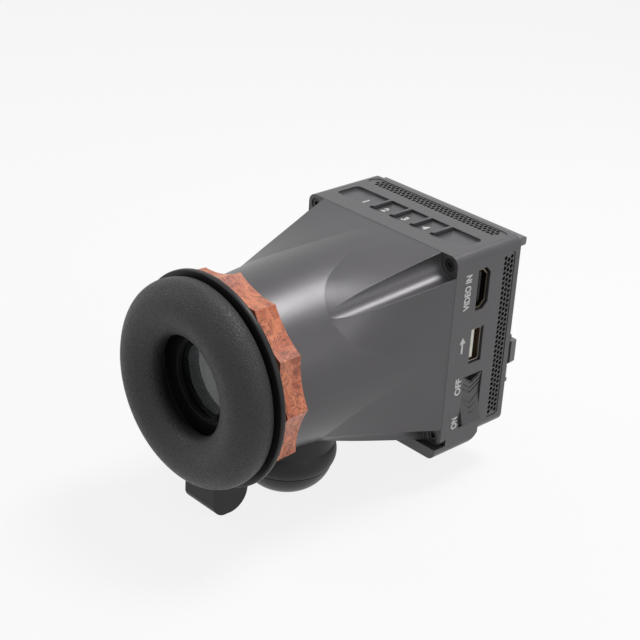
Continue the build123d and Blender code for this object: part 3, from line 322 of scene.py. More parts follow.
@dataclass(frozen=True)
class Coat(Finish):
    """A coated, moulded or blasted surface: even colour, fine grain, and a painted highlight along sharp
    edges.

    The grain is the size of one lump and the depth is how high it stands, both in metres. Clouds are wide
    and faint changes of tone, and flecks are the lightest grains.
    """

    colour: Colour = (0.1, 0.1, 0.1)
    rough: float = 0.5
    metallic: float = 0.0
    grain: float = 0.25 * MM
    depth: float = 0.012 * MM
    cloud: float = 14 * MM
    mottle: float = 0.06
    fleck_from: float = 0.62
    fleck_full: float = 0.8
    fleck_share: float = 0.25
    fleck_light: float = 1.35
    # The edge radius and gain shape the edge mask; the two settings after them make the painted edge
    # highlight.
    edge_radius: float = 0.25 * MM
    edge_gain: float = 2.5
    edge_highlight_lightness: float = 1.5
    edge_highlight_share: float = 0.7
    shine: float = 0.5

    def paint(self, graph: Graph) -> None:
        """Builds the nodes of the finish.

        Args:
            graph: the material's node tree.
        """
        place = graph.place()
        fine = graph.speckle(place, self.grain, detail=3.0)
        broad = graph.speckle(place, self.cloud, detail=4.0, roughness=0.6)
        tone = graph.blend(broad, scaled(self.colour, 1 - self.mottle), scaled(self.colour, 1 + self.mottle))
        flecks = graph.rescale(fine, self.fleck_from, self.fleck_full) * self.fleck_share
        tone = graph.blend(flecks, tone, scaled(self.colour, self.fleck_light))
        # Painted highlight: the colour is lightened along sharp edges, and the roughness is lowered there.
        edge_highlight = graph.edge_share(self.edge_radius, self.edge_gain)
        tone = graph.blend(edge_highlight * self.edge_highlight_share, tone, scaled(self.colour, self.edge_highlight_lightness))
        rough = self.rough + (fine - 0.5) * 0.12 + (broad - 0.5) * 0.08 - edge_highlight * 0.06
        normal = graph.relief(fine, self.depth, graph.round_edge(self.edge_radius))
        graph.shade(Base_Color=tone, Roughness=rough, Metallic=self.metallic, Normal=normal,
                    Specular_IOR_Level=self.shine)


@dataclass(frozen=True)
class BurlWood(Finish):
    """Oiled burl: swirling figure with growth rings, small eyes, fibre, open pores and a painted highlight
    along sharp edges.
    """

    dark: Colour = (0.085, 0.016, 0.008)
    middle: Colour = (0.52, 0.125, 0.055)
    light: Colour = (0.80, 0.265, 0.135)
    shade_places: tuple[float, ...] = (0.32, 0.43, 0.52, 0.62, 0.78)
    swirl: float = 7 * MM
    swirl_reach: float = 14 * MM
    figure: float = 9 * MM
    fibre: float = 1.3 * MM
    eye: float = 6.5 * MM
    pore: float = 0.8 * MM
    ring_count: float = 7.0
    edge_radius: float = 0.3 * MM
    depth: float = 0.05 * MM

    def paint(self, graph: Graph) -> None:
        """Builds the nodes of the finish.

        Args:
            graph: the material's node tree.
        """
        bent = graph.warped(graph.place(), self.swirl, self.swirl_reach)
        swirls = graph.stretched(bent, (1.0, 1.7, 1.0))
        figure = graph.speckle(swirls, self.figure, detail=4.0, roughness=0.55)
        strands = graph.stretched(bent, (1.0, 5.0, 1.6))
        fibre = graph.speckle(strands, self.fibre, detail=4.0, roughness=0.7)
        shades = (scaled(self.middle, 0.45), self.middle, scaled(self.light, 0.8), self.light,
                  scaled(self.light, 1.2))
        tone = graph.node("ShaderNodeValToRGB", {"stops": tuple(zip(self.shade_places, shades))},
                          {"Fac": (figure * 0.75 + fibre * 0.4 - 0.08).clipped()})
        rings = 1.0 - graph.rescale((figure * self.ring_count + fibre * 0.5).folded(), 0.02, 0.17)
        tone = graph.blend(rings * 0.62, tone, self.dark)
        eyes = 1.0 - graph.rescale(graph.cells(bent, self.eye), 0.05, 0.2)
        tone = graph.blend(eyes * 0.6, tone, self.dark)
        holes = graph.speckle(graph.stretched(bent, (1.0, 7.0, 1.2)), self.pore)
        pores = 1.0 - graph.rescale(holes, 0.32, 0.43)
        tone = graph.blend(pores * 0.45, tone, scaled(self.dark, 1.5))
        # Painted highlight: the wood is lightened along sharp edges.
        edge_highlight = graph.edge_share(self.edge_radius, 2.2)
        tone = graph.blend(edge_highlight * 0.5, tone, scaled(self.light, 1.25))
        rough = 0.4 + (figure - 0.5) * 0.2 + pores * 0.2
        normal = graph.relief(1.0 - pores * 0.7 - rings * 0.3, self.depth, graph.round_edge(self.edge_radius))
        graph.shade(Base_Color=tone, Roughness=rough, Normal=normal, Coat_Weight=0.1, Coat_Roughness=0.35)


@dataclass(frozen=True)
class Leather(Finish):
    """Soft leather: small pebbled cells, fine creases darkened with painted shade, and a dull sheen."""

    colour: Colour = (0.026, 0.026, 0.027)
    cell: float = 1.0 * MM
    crease: float = 0.22
    wander: float = 2.5 * MM
    wander_reach: float = 1.2 * MM
    pore: float = 0.18 * MM
    cloud: float = 11 * MM
    depth: float = 0.12 * MM
    rough: float = 0.44

    def paint(self, graph: Graph) -> None:
        """Builds the nodes of the finish.

        Args:
            graph: the material's node tree.
        """
        place = graph.place()
        bent = graph.warped(place, self.wander, self.wander_reach)
        pebbles = graph.rescale(graph.cells(bent, self.cell, CellField.EDGE), 0.0, self.crease)
        pores = graph.speckle(place, self.pore, detail=2.0)
        broad = graph.speckle(place, self.cloud, detail=3.0)
        tone = graph.blend(broad, scaled(self.colour, 0.86), scaled(self.colour, 1.14))
        # Painted shade: the creases between the pebbles are darkened.
        tone = graph.blend((1.0 - pebbles) * 0.5, tone, scaled(self.colour, 0.55))
        rough = self.rough + (1.0 - pebbles) * 0.18 + (broad - 0.5) * 0.1
        height = pebbles * 0.8 + pores * 0.2
        graph.shade(Base_Color=tone, Roughness=rough, Normal=graph.relief(height, self.depth),
                    Specular_IOR_Level=0.42)


@dataclass(frozen=True)
class TurnedMetal(Finish):
    """Bare or plated metal with the fine rings that a lathe leaves about the optical axis."""

    colour: Colour = (0.55, 0.55, 0.56)
    rough: float = 0.3
    metallic: float = 1.0
    pitch: float = 0.12 * MM
    stain: float = 3 * MM
    depth: float = 0.006 * MM
    edge_radius: float = 0.12 * MM

    def paint(self, graph: Graph) -> None:
        """Builds the nodes of the finish.

        Args:
            graph: the material's node tree.
        """
        place = graph.place()
        across = graph.stretched(graph.vector("SUBTRACT", place, tuple(OPTICAL_ORIGIN)), (1.0, 0.0, 1.0))
        radius = graph.vector("LENGTH", across, (0, 0, 0), "Value")
        rings = graph.node("ShaderNodeTexNoise", {"noise_dimensions": "1D"},
                           {"W": radius / self.pitch, "Scale": 1.0, "Detail": 2.0})
        stain = graph.speckle(place, self.stain, detail=3.0)
        tone = graph.blend(stain, scaled(self.colour, 0.85), scaled(self.colour, 1.1))
        rough = self.rough + (rings - 0.5) * 0.14 + (stain - 0.5) * 0.12
        graph.shade(Base_Color=tone, Roughness=rough, Metallic=self.metallic,
                    Normal=graph.relief(rings, self.depth, graph.round_edge(self.edge_radius)))


@dataclass(frozen=True)
class Laminate(Finish):
    """Lacquered circuit board with traces and soldered pads."""

    colour: Colour = (0.02, 0.12, 0.05)
    solder: Colour = (0.75, 0.6, 0.3)
    lanes_per_metre: float = 260.0
    pad: float = 3.2 * MM
    depth: float = 0.03 * MM

    def paint(self, graph: Graph) -> None:
        """Builds the nodes of the finish.

        Args:
            graph: the material's node tree.
        """
        place = graph.place()
        lanes = graph.node("ShaderNodeTexBrick", {"offset": 0.5},
                           {"Vector": place, "Scale": self.lanes_per_metre, "Color1": (0.0, 0.0, 0.0),
                            "Color2": (0.25, 0.25, 0.25), "Mortar": WHITE, "Mortar Size": 0.06})
        pads = 1.0 - graph.rescale(graph.cells(place, self.pad), 0.16, 0.2)
        tone = graph.blend(lanes, self.colour, scaled(self.colour, 1.9))
        tone = graph.blend(pads, tone, self.solder)
        graph.shade(Base_Color=tone, Roughness=0.25 + pads * 0.1, Metallic=pads * 0.9,
                    Normal=graph.relief(pads + lanes * 0.5, self.depth))


@dataclass(frozen=True)
class LensGlass(Finish):
    """Polished grey glass with a faint film of dust that dulls it a little in places."""

    tint: Colour = (0.40, 0.42, 0.43)
    film: float = 6 * MM
    refraction: float = 1.52
    shine: float = 0.04

    def paint(self, graph: Graph) -> None:
        """Builds the nodes of the finish.

        Args:
            graph: the material's node tree.
        """
        film = graph.speckle(graph.place(), self.film, detail=4.0)
        tone = graph.blend(film, scaled(self.tint, 0.96), self.tint)
        graph.shade(Base_Color=tone, Roughness=0.01 + graph.rescale(film, 0.5, 0.9) * 0.03,
                    Transmission_Weight=1.0, IOR=self.refraction, Specular_IOR_Level=self.shine)


@dataclass(frozen=True)
class ScreenGlass(Finish):
    """Dark display with a fine grid of dots under its glass."""

    colour: Colour = (0.012, 0.012, 0.015)
    gap: Colour = (0.002, 0.002, 0.002)
    dot: float = 0.3 * MM
    smear: float = 8 * MM

    def paint(self, graph: Graph) -> None:
        """Builds the nodes of the finish.

        Args:
            graph: the material's node tree.
        """
        place = graph.place()
        upright = graph.node("ShaderNodeMapping", {}, {"Vector": place, "Rotation": (math.pi / 2, 0.0, 0.0)})
        grid = graph.node("ShaderNodeTexBrick", {"offset": 0.0},
                          {"Vector": upright, "Scale": 0.5 / self.dot, "Color1": self.colour,
                           "Color2": scaled(self.colour, 1.6), "Mortar": self.gap, "Mortar Size": 0.05,
                           "Brick Width": 0.5, "Row Height": 0.5})
        smear = graph.speckle(place, self.smear, detail=3.0)
        graph.shade(Base_Color=grid, Roughness=0.12 + graph.rescale(smear, 0.45, 0.8) * 0.1,
                    Specular_IOR_Level=0.1)


@dataclass(frozen=True)
class SocketShell(Finish):
    """Plated shell of a socket with random stains: its plating colour at the mouth, darkened by painted shade
    deep inside.
    """

    # The mouth colour is the plating's own; the inside colour is painted shade deep in the socket, and the
    # stains are a lighter copy of it.
    mouth: Colour = (0.5, 0.47, 0.42)
    inside: Colour = (0.09, 0.06, 0.035)
    mouth_x: float = 37.1 * MM
    fade: float = 0.7 * MM
    stain: float = 1.2 * MM
    depth: float = 0.01 * MM
    edge_radius: float = 0.12 * MM

    def paint(self, graph: Graph) -> None:
        """Builds the nodes of the finish.

        Args:
            graph: the material's node tree.
        """
        place = graph.place()
        across = graph.node("ShaderNodeSeparateXYZ", {}, {0: place}, "X")
        # Painted shade: the shell darkens from its mouth inwards; the same share raises the metallic towards
        # the mouth.
        share = graph.rescale(across, self.mouth_x - self.fade, self.mouth_x)
        stain = graph.speckle(place, self.stain, detail=3.0)
        tone = graph.blend(share, self.inside, self.mouth)
        tone = graph.blend(stain * 0.5, tone, scaled(self.inside, 1.6))
        rough = 0.3 + (stain - 0.5) * 0.2
        graph.shade(Base_Color=tone, Roughness=rough, Metallic=0.5 + share * 0.5,
                    Normal=graph.relief(stain, self.depth, graph.round_edge(self.edge_radius)))


@dataclass(frozen=True)
class Ink(Finish):
    """Printed lettering: flat paint with a slightly uneven tone."""

    colour: Colour = (0.62, 0.62, 0.62)
    grain: float = 0.2 * MM
    depth: float = 0.01 * MM

    def paint(self, graph: Graph) -> None:
        """Builds the nodes of the finish.

        Args:
            graph: the material's node tree.
        """
        fine = graph.speckle(graph.place(), self.grain, detail=3.0)
        tone = graph.blend(fine, scaled(self.colour, 0.85), scaled(self.colour, 1.1))
        graph.shade(Base_Color=tone, Roughness=0.5 + (fine - 0.5) * 0.2,
                    Normal=graph.relief(fine, self.depth))


# The edge number given to each coat below sets how light its painted edge highlight is.
ANTHRACITE = Coat("anthracite_satin", "anthracite_metal", colour=(0.096, 0.092, 0.097), rough=0.36,
                  metallic=0.5, grain=0.24 * MM, edge_radius=0.3 * MM, edge_highlight_lightness=1.6)
ANTHRACITE_KEY = Coat("anthracite_key", "key_metal", colour=(0.092, 0.089, 0.094), rough=0.38, metallic=0.45,
                      grain=0.22 * MM, depth=0.01 * MM, edge_highlight_lightness=1.7)
BLACK_METAL = Coat("black_satin", "black_metal", colour=(0.012, 0.012, 0.013), rough=0.4, metallic=0.1,
                   grain=0.2 * MM, depth=0.008 * MM, shine=0.3, edge_highlight_lightness=2.0)
BLACK_RUBBER = Coat("black_moulded_rubber", "black_rubber", colour=(0.012, 0.012, 0.0125),
                    grain=0.35 * MM, depth=0.03 * MM, shine=0.32, edge_highlight_lightness=1.6)
BLACK_PLASTIC = Coat("black_moulded_plastic", "black_plastic", colour=(0.012, 0.012, 0.013), rough=0.38,
                     grain=0.3 * MM, depth=0.015 * MM, shine=0.35, edge_highlight_lightness=2.0)
GREY_PLASTIC = Coat("grey_moulded_plastic", "black_plastic", colour=(0.13, 0.13, 0.135), rough=0.42,
                    grain=0.3 * MM, depth=0.015 * MM, edge_highlight_lightness=1.6)
ROCKER_PLASTIC = Coat("rocker_plastic", "black_plastic", colour=(0.062, 0.06, 0.064), rough=0.4,
                      edge_radius=0.15 * MM, edge_highlight_lightness=2.2)
WHITE_PLASTIC = Coat("white_moulded_plastic", "white_plastic", colour=(0.8, 0.78, 0.7), rough=0.35,
                     grain=0.3 * MM, depth=0.01 * MM, edge_highlight_lightness=1.05, mottle=0.03)
BURL = BurlWood("oiled_burl", "burl_wood")
SOFT_LEATHER = Leather("pad_leather", "soft_leather")
STEEL = TurnedMetal("turned_steel", "steel")
BRIGHT_METAL = TurnedMetal("turned_aluminium", "bright_metal", colour=(0.78, 0.78, 0.8), rough=0.32)
NICKEL = TurnedMetal("plated_nickel", "nickel", colour=(0.62, 0.6, 0.56), rough=0.22, pitch=0.4 * MM)
BRASS = TurnedMetal("gilded_brass", "brass", colour=(0.78, 0.58, 0.27), rough=0.28, pitch=0.3 * MM)
BLACK_STEEL = TurnedMetal("blackened_steel", "black_steel", colour=(0.05, 0.05, 0.052), rough=0.38,
                          metallic=0.7)
BOARD = Laminate("board_laminate", "board_green")
LENS = LensGlass("polished_lens", "lens_glass")
SCREEN = ScreenGlass("display_glass_finish", "display_glass")
INK = Ink("print_ink", "white_plastic")
DATA_SHELL = SocketShell("data_shell_plating", "nickel")
VIDEO_SHELL = SocketShell("video_shell_plating", "nickel", mouth=(0.2, 0.165, 0.12),
                          inside=(0.02, 0.015, 0.01))

# The finish of each of the record's material slots, and of the nodes whose own differs from it.
BY_SLOT: dict[str, Finish] = {finish.slot: finish for finish in (
    ANTHRACITE, ANTHRACITE_KEY, BLACK_METAL, BLACK_RUBBER, BLACK_PLASTIC, WHITE_PLASTIC, BURL, SOFT_LEATHER,
    STEEL, BRIGHT_METAL, NICKEL, BRASS, BLACK_STEEL, BOARD, LENS, SCREEN)}
BY_NODE: dict[str, Finish] = {
    "video_socket_shell": VIDEO_SHELL, "data_socket_shell": DATA_SHELL, "power_rocker": ROCKER_PLASTIC,
    "battery_plate": GREY_PLASTIC, "battery_latch": GREY_PLASTIC}


def dress(node: str) -> None:
    """Gives a CAD node its own finish, or else that of each of its slots.

    Args:
        node: name of the node.
    """
    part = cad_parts[node]
    for index, material in enumerate(part.data.materials):
        finish = BY_NODE.get(node) or BY_SLOT[material.name.split(".")[0]]
        part.data.materials[index] = finish.material()


def add_mesh(name: str, mesh: bpy.types.Mesh, finish: Finish, body: str,
             smooth: bool = True) -> bpy.types.Object:
    """Puts a finished mesh in the scene as a piece that rides on a body.

    Args:
        name: name of the piece.
        mesh: its mesh, in metres in the row frame.
        finish: the finish that covers all of it.
        body: the CAD body that carries it.
        smooth: whether its faces are shaded smooth.

    Returns:
        The new object.
    """
    piece = bpy.data.objects.new(name, mesh)
    bpy.context.scene.collection.objects.link(piece)
    mesh.materials.clear()
    mesh.materials.append(finish.material())
    for face in mesh.polygons:
        face.use_smooth = smooth
    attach(piece, body)
    return piece


def mesh_from(name: str, points: Sequence[Sequence[float]],
              faces: Sequence[Sequence[int]]) -> bpy.types.Mesh:
    """A mesh with its normals turned outwards.

    Args:
        name: name of the mesh.
        points: its points.
        faces: its faces, as numbers of points.

    Returns:
        The mesh.
    """
    mesh = bpy.data.meshes.new(name)
    mesh.from_pydata([tuple(point) for point in points], [], [tuple(face) for face in faces])
    work = bmesh.new()
    work.from_mesh(mesh)
    bmesh.ops.recalc_face_normals(work, faces=work.faces)
    work.to_mesh(mesh)
    work.free()
    return mesh


def arc_through(start: Spot, middle: Spot, end: Spot, count: int) -> list[Spot]:
    """Points on an arc, without its end.

    Args:
        start: first point.
        middle: a point that the arc passes.
        end: last point.
        count: how many points are wanted.

    Returns:
        The points, evenly spaced from the first.
    """
    (ax, ay), (bx, by), (cx, cy) = start, middle, end
    squares = (ax * ax + ay * ay, bx * bx + by * by, cx * cx + cy * cy)
    double_area = 2 * (ax * (by - cy) + bx * (cy - ay) + cx * (ay - by))
    x = (squares[0] * (by - cy) + squares[1] * (cy - ay) + squares[2] * (ay - by)) / double_area
    y = (squares[0] * (cx - bx) + squares[1] * (ax - cx) + squares[2] * (bx - ax)) / double_area
    angles = [math.atan2(spot[1] - y, spot[0] - x) for spot in (start, middle, end)]
    passing, turn = ((angle - angles[0]) % (2 * math.pi) for angle in angles[1:])
    if passing > turn:
        turn -= 2 * math.pi
    radius = math.hypot(ax - x, ay - y)
    steps = [angles[0] + turn * step / count for step in range(count)]
    return [(x + radius * math.cos(angle), y + radius * math.sin(angle)) for angle in steps]


@dataclass(frozen=True)
class Lettering:
    """Printed characters and signs as thin raised ink on a flat face of one body.

    They are read along the first direction, and the second one points to their top. A share of the ink's
    thickness lies under the face. The arrow's sizes are shares of its length.
    """

    along: Vector
    up: Vector
    body: str
    thickness: float = 0.04 * MM
    sunk_share: float = 0.5
    boldness: float = 0.035
    font_depth: float = 0.5
    curve_steps: int = 6
    shaft_half: float = 0.07
    head_half: float = 0.24
    head_length: float = 0.38

    def on_face(self, centre: Vector, x: float, y: float, raised: bool) -> Vector:
        """A point of the ink's upper or lower side, from the centre of what is printed."""
        lift = self.thickness * (1.0 if raised else -self.sunk_share)
        return centre + self.along * x + self.up * y + self.along.cross(self.up) * lift

    def word(self, name: str, text: str, height: float, centre: Vector,
             length: float | None = None) -> bpy.types.Object:
        """Writes a word on the face.

        Args:
            name: name of the piece.
            text: the characters.
            height: height of a capital, in metres.
            centre: middle of the word, on the face.
            length: length of the word in metres, where it isn't the font's own.

        Returns:
            The piece.
        """
        curve = bpy.data.curves.new(name, "FONT")
        curve.body = text
        curve.align_x = "CENTER"
        curve.align_y = "CENTER"
        curve.extrude = self.font_depth
        curve.offset = self.boldness
        curve.resolution_u = self.curve_steps
        holder = bpy.data.objects.new(name + "_curve", curve)
        bpy.context.scene.collection.objects.link(holder)
        bpy.context.view_layer.update()
        mesh = bpy.data.meshes.new_from_object(holder.evaluated_get(bpy.context.evaluated_depsgraph_get()))
        bpy.data.objects.remove(holder)
        low = [min(vertex.co[axis] for vertex in mesh.vertices) for axis in range(2)]
        high = [max(vertex.co[axis] for vertex in mesh.vertices) for axis in range(2)]
        size = height / (high[1] - low[1])
        squeeze = 1.0 if length is None else length / ((high[0] - low[0]) * size)
        for vertex in mesh.vertices:
            x = (vertex.co.x - (low[0] + high[0]) / 2) * size * squeeze
            y = (vertex.co.y - (low[1] + high[1]) / 2) * size
            vertex.co = self.on_face(centre, x, y, vertex.co.z > 0)
        mesh.name = name
        return add_mesh(name, mesh, INK, self.body, smooth=False)

    def arrow(self, name: str, length: float, centre: Vector) -> bpy.types.Object:
        """Prints a plain arrow that points along.

        Args:
            name: name of the piece.
            length: its length, in metres.
            centre: its middle, on the face.

        Returns:
            The piece.
        """
        half, thin, wide = length / 2, length * self.shaft_half, length * self.head_half
        neck = half - length * self.head_length
        outline = ((-half, -thin), (neck, -thin), (neck, -wide), (half, 0.0), (neck, wide), (neck, thin),
                   (-half, thin))
        count = len(outline)
        points = [self.on_face(centre, x, y, raised) for raised in (False, True) for x, y in outline]
        faces = [tuple(range(count)), tuple(range(count, 2 * count))]
        faces += [(k, (k + 1) % count, count + (k + 1) % count, count + k) for k in range(count)]
        return add_mesh(name, mesh_from(name, points, faces), INK, self.body, smooth=False)


@dataclass
class SubAssembly:
    """CAD nodes that keep their shape, and the pieces that are made here."""

    nodes: tuple[str, ...] = ()

    def build(self) -> list[str]:
        """Dresses the nodes and makes the other pieces.

        Returns:
            The names of all of them.
        """
        for node in self.nodes:
            dress(node)
        return [*self.nodes, *(piece.name for piece in self.made())]

    def made(self) -> list[bpy.types.Object]:
        """Makes what the CAD model lacks and what stands for one of its nodes."""
        return []


@dataclass
class Housing(SubAssembly):
    """Metal housing: funnel, display box, grilles, screws, what is inside and the print on its side.

    Each word is listed with the heights between which it runs. Places are millimetres in the optical frame.
    """

    nodes: tuple[str, ...] = (
        "rear_housing", "funnel_housing", "funnel_screws", "top_vent_grille", "side_vent_grille",
        "display_gasket", "display_tray", "display_panel", "backlight_unit", "display_backplate",
        "display_flex", "main_board", "board_screws", "video_processor", "heat_sink", "key_switches",
        "key_board", "key_board_screws", "chin_insert")
    side_x: float = 38.0
    word_y: float = 6.6
    word_height: float = 3.1 * MM
    words: tuple[tuple[str, str, float, float], ...] = (
        ("word_off", "OFF", -17.9, -11.1), ("word_on", "ON", -31.8, -27.0),
        ("word_video_in", "VIDEO IN", 16.1, 29.9))
    arrow_z: float = 2.2
    arrow_length: float = 6.4 * MM

    def made(self) -> list[bpy.types.Object]:
        """Prints the words and the arrow.

        Returns:
            The printed pieces.
        """
        side = Lettering(Vector((0, 0, 1)), Vector((0, -1, 0)), "housing")
        printed = []
        for name, text, low, high in self.words:
            middle = from_optical(self.side_x, self.word_y, (low + high) / 2)
            printed.append(side.word(name, text, self.word_height, middle, (high - low) * MM))
        middle = from_optical(self.side_x, self.word_y, self.arrow_z)
        printed.append(side.arrow("data_arrow", self.arrow_length, middle))
        return printed


@dataclass
class FunctionKeys(SubAssembly):
    """Four scooped keys with a plain number each, with places in millimetres in the optical frame."""

    nodes: tuple[str, ...] = ("function_key_1", "function_key_2", "function_key_3", "function_key_4")
    pitch: float = 10.2
    number_x: float = -20.2
    number_y: float = 12.2
    top_z: float = 36.85
    number_height: float = 3.5 * MM

    def made(self) -> list[bpy.types.Object]:
        """Numbers the keys.

        Returns:
            The printed numbers.
        """
        printed = []
        for index in range(len(self.nodes)):
            top = Lettering(Vector((1, 0, 0)), Vector((0, 1, 0)), f"key_{index + 1}")
            centre = from_optical(self.number_x + index * self.pitch, self.number_y, self.top_z)
            printed.append(top.word(f"key_number_{index + 1}", str(index + 1), self.number_height, centre))
        return printed


@dataclass
class Sockets(SubAssembly):
    """Video and data sockets in the right side."""

    nodes: tuple[str, ...] = ("video_socket_shell", "video_socket_tongue", "data_socket_shell",
                              "data_socket_tongue")


@dataclass
class PowerSwitch(SubAssembly):
    """Rocker switch: cap, pin and frame."""

    nodes: tuple[str, ...] = ("power_rocker", "rocker_pin", "rocker_frame")


@dataclass
class BatteryMount(SubAssembly):
    """Plate, latch, its spring and the contacts on the flat front.

    The steps are the points of one turn of the spring, and the sides are those of its wire.
    """

    nodes: tuple[str, ...] = ("plate_screws", "battery_contacts", "battery_plate", "battery_latch")
    wire: float = 0.28 * MM
    turns: int = 6
    steps: int = 28
    sides: int = 10
    pressed_share: float = 0.464

    def made(self) -> list[bpy.types.Object]:
        """Makes the latch's coil spring, seated on the housing.

        Returns:
            The spring.
        """
        low, high = (Vector(corner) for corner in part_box("latch_spring"))
        middle = (low + high) / 2
        radius = (high.x - low.x) / 2 - self.wire
        count = self.turns * self.steps
        points, faces = [], []
        for step in range(count + 1):
            angle = 2 * math.pi * step / self.steps
            outwards = Vector((math.cos(angle), math.sin(angle), 0.0))
            height = low.z + self.wire + (high.z - low.z - 2 * self.wire) * step / count
            for side in range(self.sides):
                turn = 2 * math.pi * side / self.sides
                lift = Vector((0.0, 0.0, self.wire * math.sin(turn)))
                spot = outwards * (radius + self.wire * math.cos(turn)) + lift
                points.append(Vector((middle.x, middle.y, height)) + spot)
                if step < count:
                    here, beside = step * self.sides, (side + 1) % self.sides
                    above = here + self.sides
                    faces.append((here + side, here + beside, above + beside, above + side))
        faces += [tuple(range(self.sides)), tuple(range(count * self.sides, (count + 1) * self.sides))]
        coil = add_mesh("latch_coil", mesh_from("latch_coil", points, faces), STEEL, "housing")
        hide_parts("latch_spring")
        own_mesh(coil)
        return [coil]


@dataclass
class FocusRing(SubAssembly):
    """Faceted wooden ring, the sleeve inside it and what holds them."""

    nodes: tuple[str, ...] = ("focus_ring", "ring_sleeve", "ring_retainer")


@dataclass
class Optics(SubAssembly):
    """Sliding cell with its lenses, and the clip on which the eyecup turns."""

    nodes: tuple[str, ...] = ("lens_cell", "front_lens", "rear_lens", "lens_spacer", "sight_ring",
                              "follower_pins", "eyecup_clip")


@dataclass
class Eyecup(SubAssembly):
    """Turning eyecup: carrier flange, tab and the padded leather ring.

    The section is in millimetres: radius from the optical axis, and depth behind the flange. The simulation
    runs on a cushion that many times as large as the real one.
    """

    nodes: tuple[str, ...] = ("eyecup_flange", "eyecup_tab")
    back_y: float = -80.4
    arcs: tuple[Arc, ...] = (
        ((36.6, 0.2), (37.4, 4.8), (34.2, 10.0)), ((34.2, 10.0), (28.0, 12.8), (21.6, 10.5)),
        ((21.6, 10.5), (17.5, 6.0), (19.4, 1.6)))
    seat_middle: Spot = (26.5, 0.0)
    arc_points: int = 12
    seat_points: int = 3
    slack: float = 0.4
    rings: int = 144
    enlarge: float = 10.0
    swell_limit: float = 0.9 * MM
    fill: float = 0.9
    frames: int = 20

    def made(self) -> list[bpy.types.Object]:
        """Makes the cushion.

        Returns:
            The cushion.
        """
        pad = self.cushion()
        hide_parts("eyecup_pad")
        return [pad]

    def section(self) -> list[Spot]:
        """The cushion's section: three arcs round the padding, then the flat seat on the flange.

        Returns:
            Radius and depth of its points, with the slack taken off the padding so that it can swell.
        """
        padding = [spot for arc in self.arcs for spot in arc_through(*arc, self.arc_points)]
        middle = Vector((sum(r for r, _ in padding), sum(d for _, d in padding))) / len(padding)
        drawn = [padding[0]]
        for spot in padding[1:]:
            inwards = (middle - Vector(spot)).normalized() * self.slack
            drawn.append(tuple(Vector(spot) + inwards))
        corners = (self.arcs[-1][-1], self.seat_middle, padding[0])
        for first, last in zip(corners, corners[1:]):
            for step in range(self.seat_points):
                drawn.append(tuple(Vector(first).lerp(Vector(last), step / self.seat_points)))
        return drawn

    def cushion(self) -> bpy.types.Object:
        """The leather cushion, blown up by a cloth simulation and held at its seat.

        Returns:
            The cushion, which rides on the eyecup.
        """
        section = self.section()
        ribs = len(section)
        points, faces = [], []
        for ring in range(self.rings):
            turn = 2 * math.pi * ring / self.rings
            here = ring * ribs
            across = ((ring + 1) % self.rings) * ribs
            for rib, (radius, depth) in enumerate(section):
                spot = from_optical(radius * math.cos(turn), self.back_y - depth, radius * math.sin(turn))
                points.append(spot * self.enlarge)
                beside = (rib + 1) % ribs
                faces.append((here + rib, here + beside, across + beside, across + rib))
        mesh = mesh_from("eyecup_cushion", points, faces)
        piece = bpy.data.objects.new("eyecup_cushion", mesh)
        bpy.context.scene.collection.objects.link(piece)
        start = [vertex.co.copy() for vertex in mesh.vertices]
        self.inflate(piece)
        for vertex, before in zip(mesh.vertices, start):
            move = (vertex.co - before) / self.enlarge
            if move.length > self.swell_limit:
                move = move.normalized() * self.swell_limit
            vertex.co = before / self.enlarge + move
        smooth = piece.modifiers.new("round_off", "SUBSURF")
        smooth.levels = smooth.render_levels = 1
        mesh.materials.append(SOFT_LEATHER.material())
        for face in mesh.polygons:
            face.use_smooth = True
        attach(piece, "eyecup")
        return piece

    def inflate(self, piece: bpy.types.Object) -> None:
        """Runs the cloth simulation on the enlarged cushion and applies it.

        Args:
            piece: the cushion.
        """
        seat = piece.vertex_groups.new(name="seat")
        padding = len(self.arcs) * self.arc_points
        ribs = padding + 2 * self.seat_points
        held = [vertex.index for vertex in piece.data.vertices if not 0 < vertex.index % ribs < padding]
        seat.add(held, 1.0, "REPLACE")
        cloth = piece.modifiers.new("cloth", "CLOTH")
        settings = cloth.settings
        settings.quality = 6
        settings.mass = 0.3
        settings.tension_stiffness = settings.compression_stiffness = 18
        settings.shear_stiffness = 8
        settings.bending_stiffness = 0.6
        settings.use_pressure = True
        settings.uniform_pressure_force = 4
        settings.vertex_group_mass = seat.name
        settings.effector_weights.gravity = 0
        scene = bpy.context.scene
        for step in range(1, self.frames + 1):
            scene.frame_set(step)
        done = piece.evaluated_get(bpy.context.evaluated_depsgraph_get())
        moved = [vertex.co.copy() for vertex in done.data.vertices]
        piece.modifiers.remove(cloth)
        scene.frame_set(1)
        for vertex, place in zip(piece.data.vertices, moved):
            vertex.co = place


@dataclass
class Foot(SubAssembly):
    """Turning foot under the barrel."""

    nodes: tuple[str, ...] = ("foot_boss", "foot_collar", "foot_cup", "foot_insert", "friction_washer",
                              "spring_washer", "pivot_bolt", "foot_screws")


@dataclass(frozen=True)
class Lamp:
    """One soft square lamp: its place and size in metres and its power in watts."""

    name: str
    place: Vector
    power: float
    size: float

    def build(self, target: Vector) -> None:
        """Adds the lamp.

        Args:
            target: the point that it is aimed at.
        """
        data = bpy.data.lights.new(self.name, "AREA")
        data.energy = self.power
        data.size = self.size
        lamp = bpy.data.objects.new(self.name, data)
        bpy.context.scene.collection.objects.link(lamp)
        lamp.location = self.place
        lamp.rotation_euler = (target - self.place).to_track_quat("-Z", "Y").to_euler()


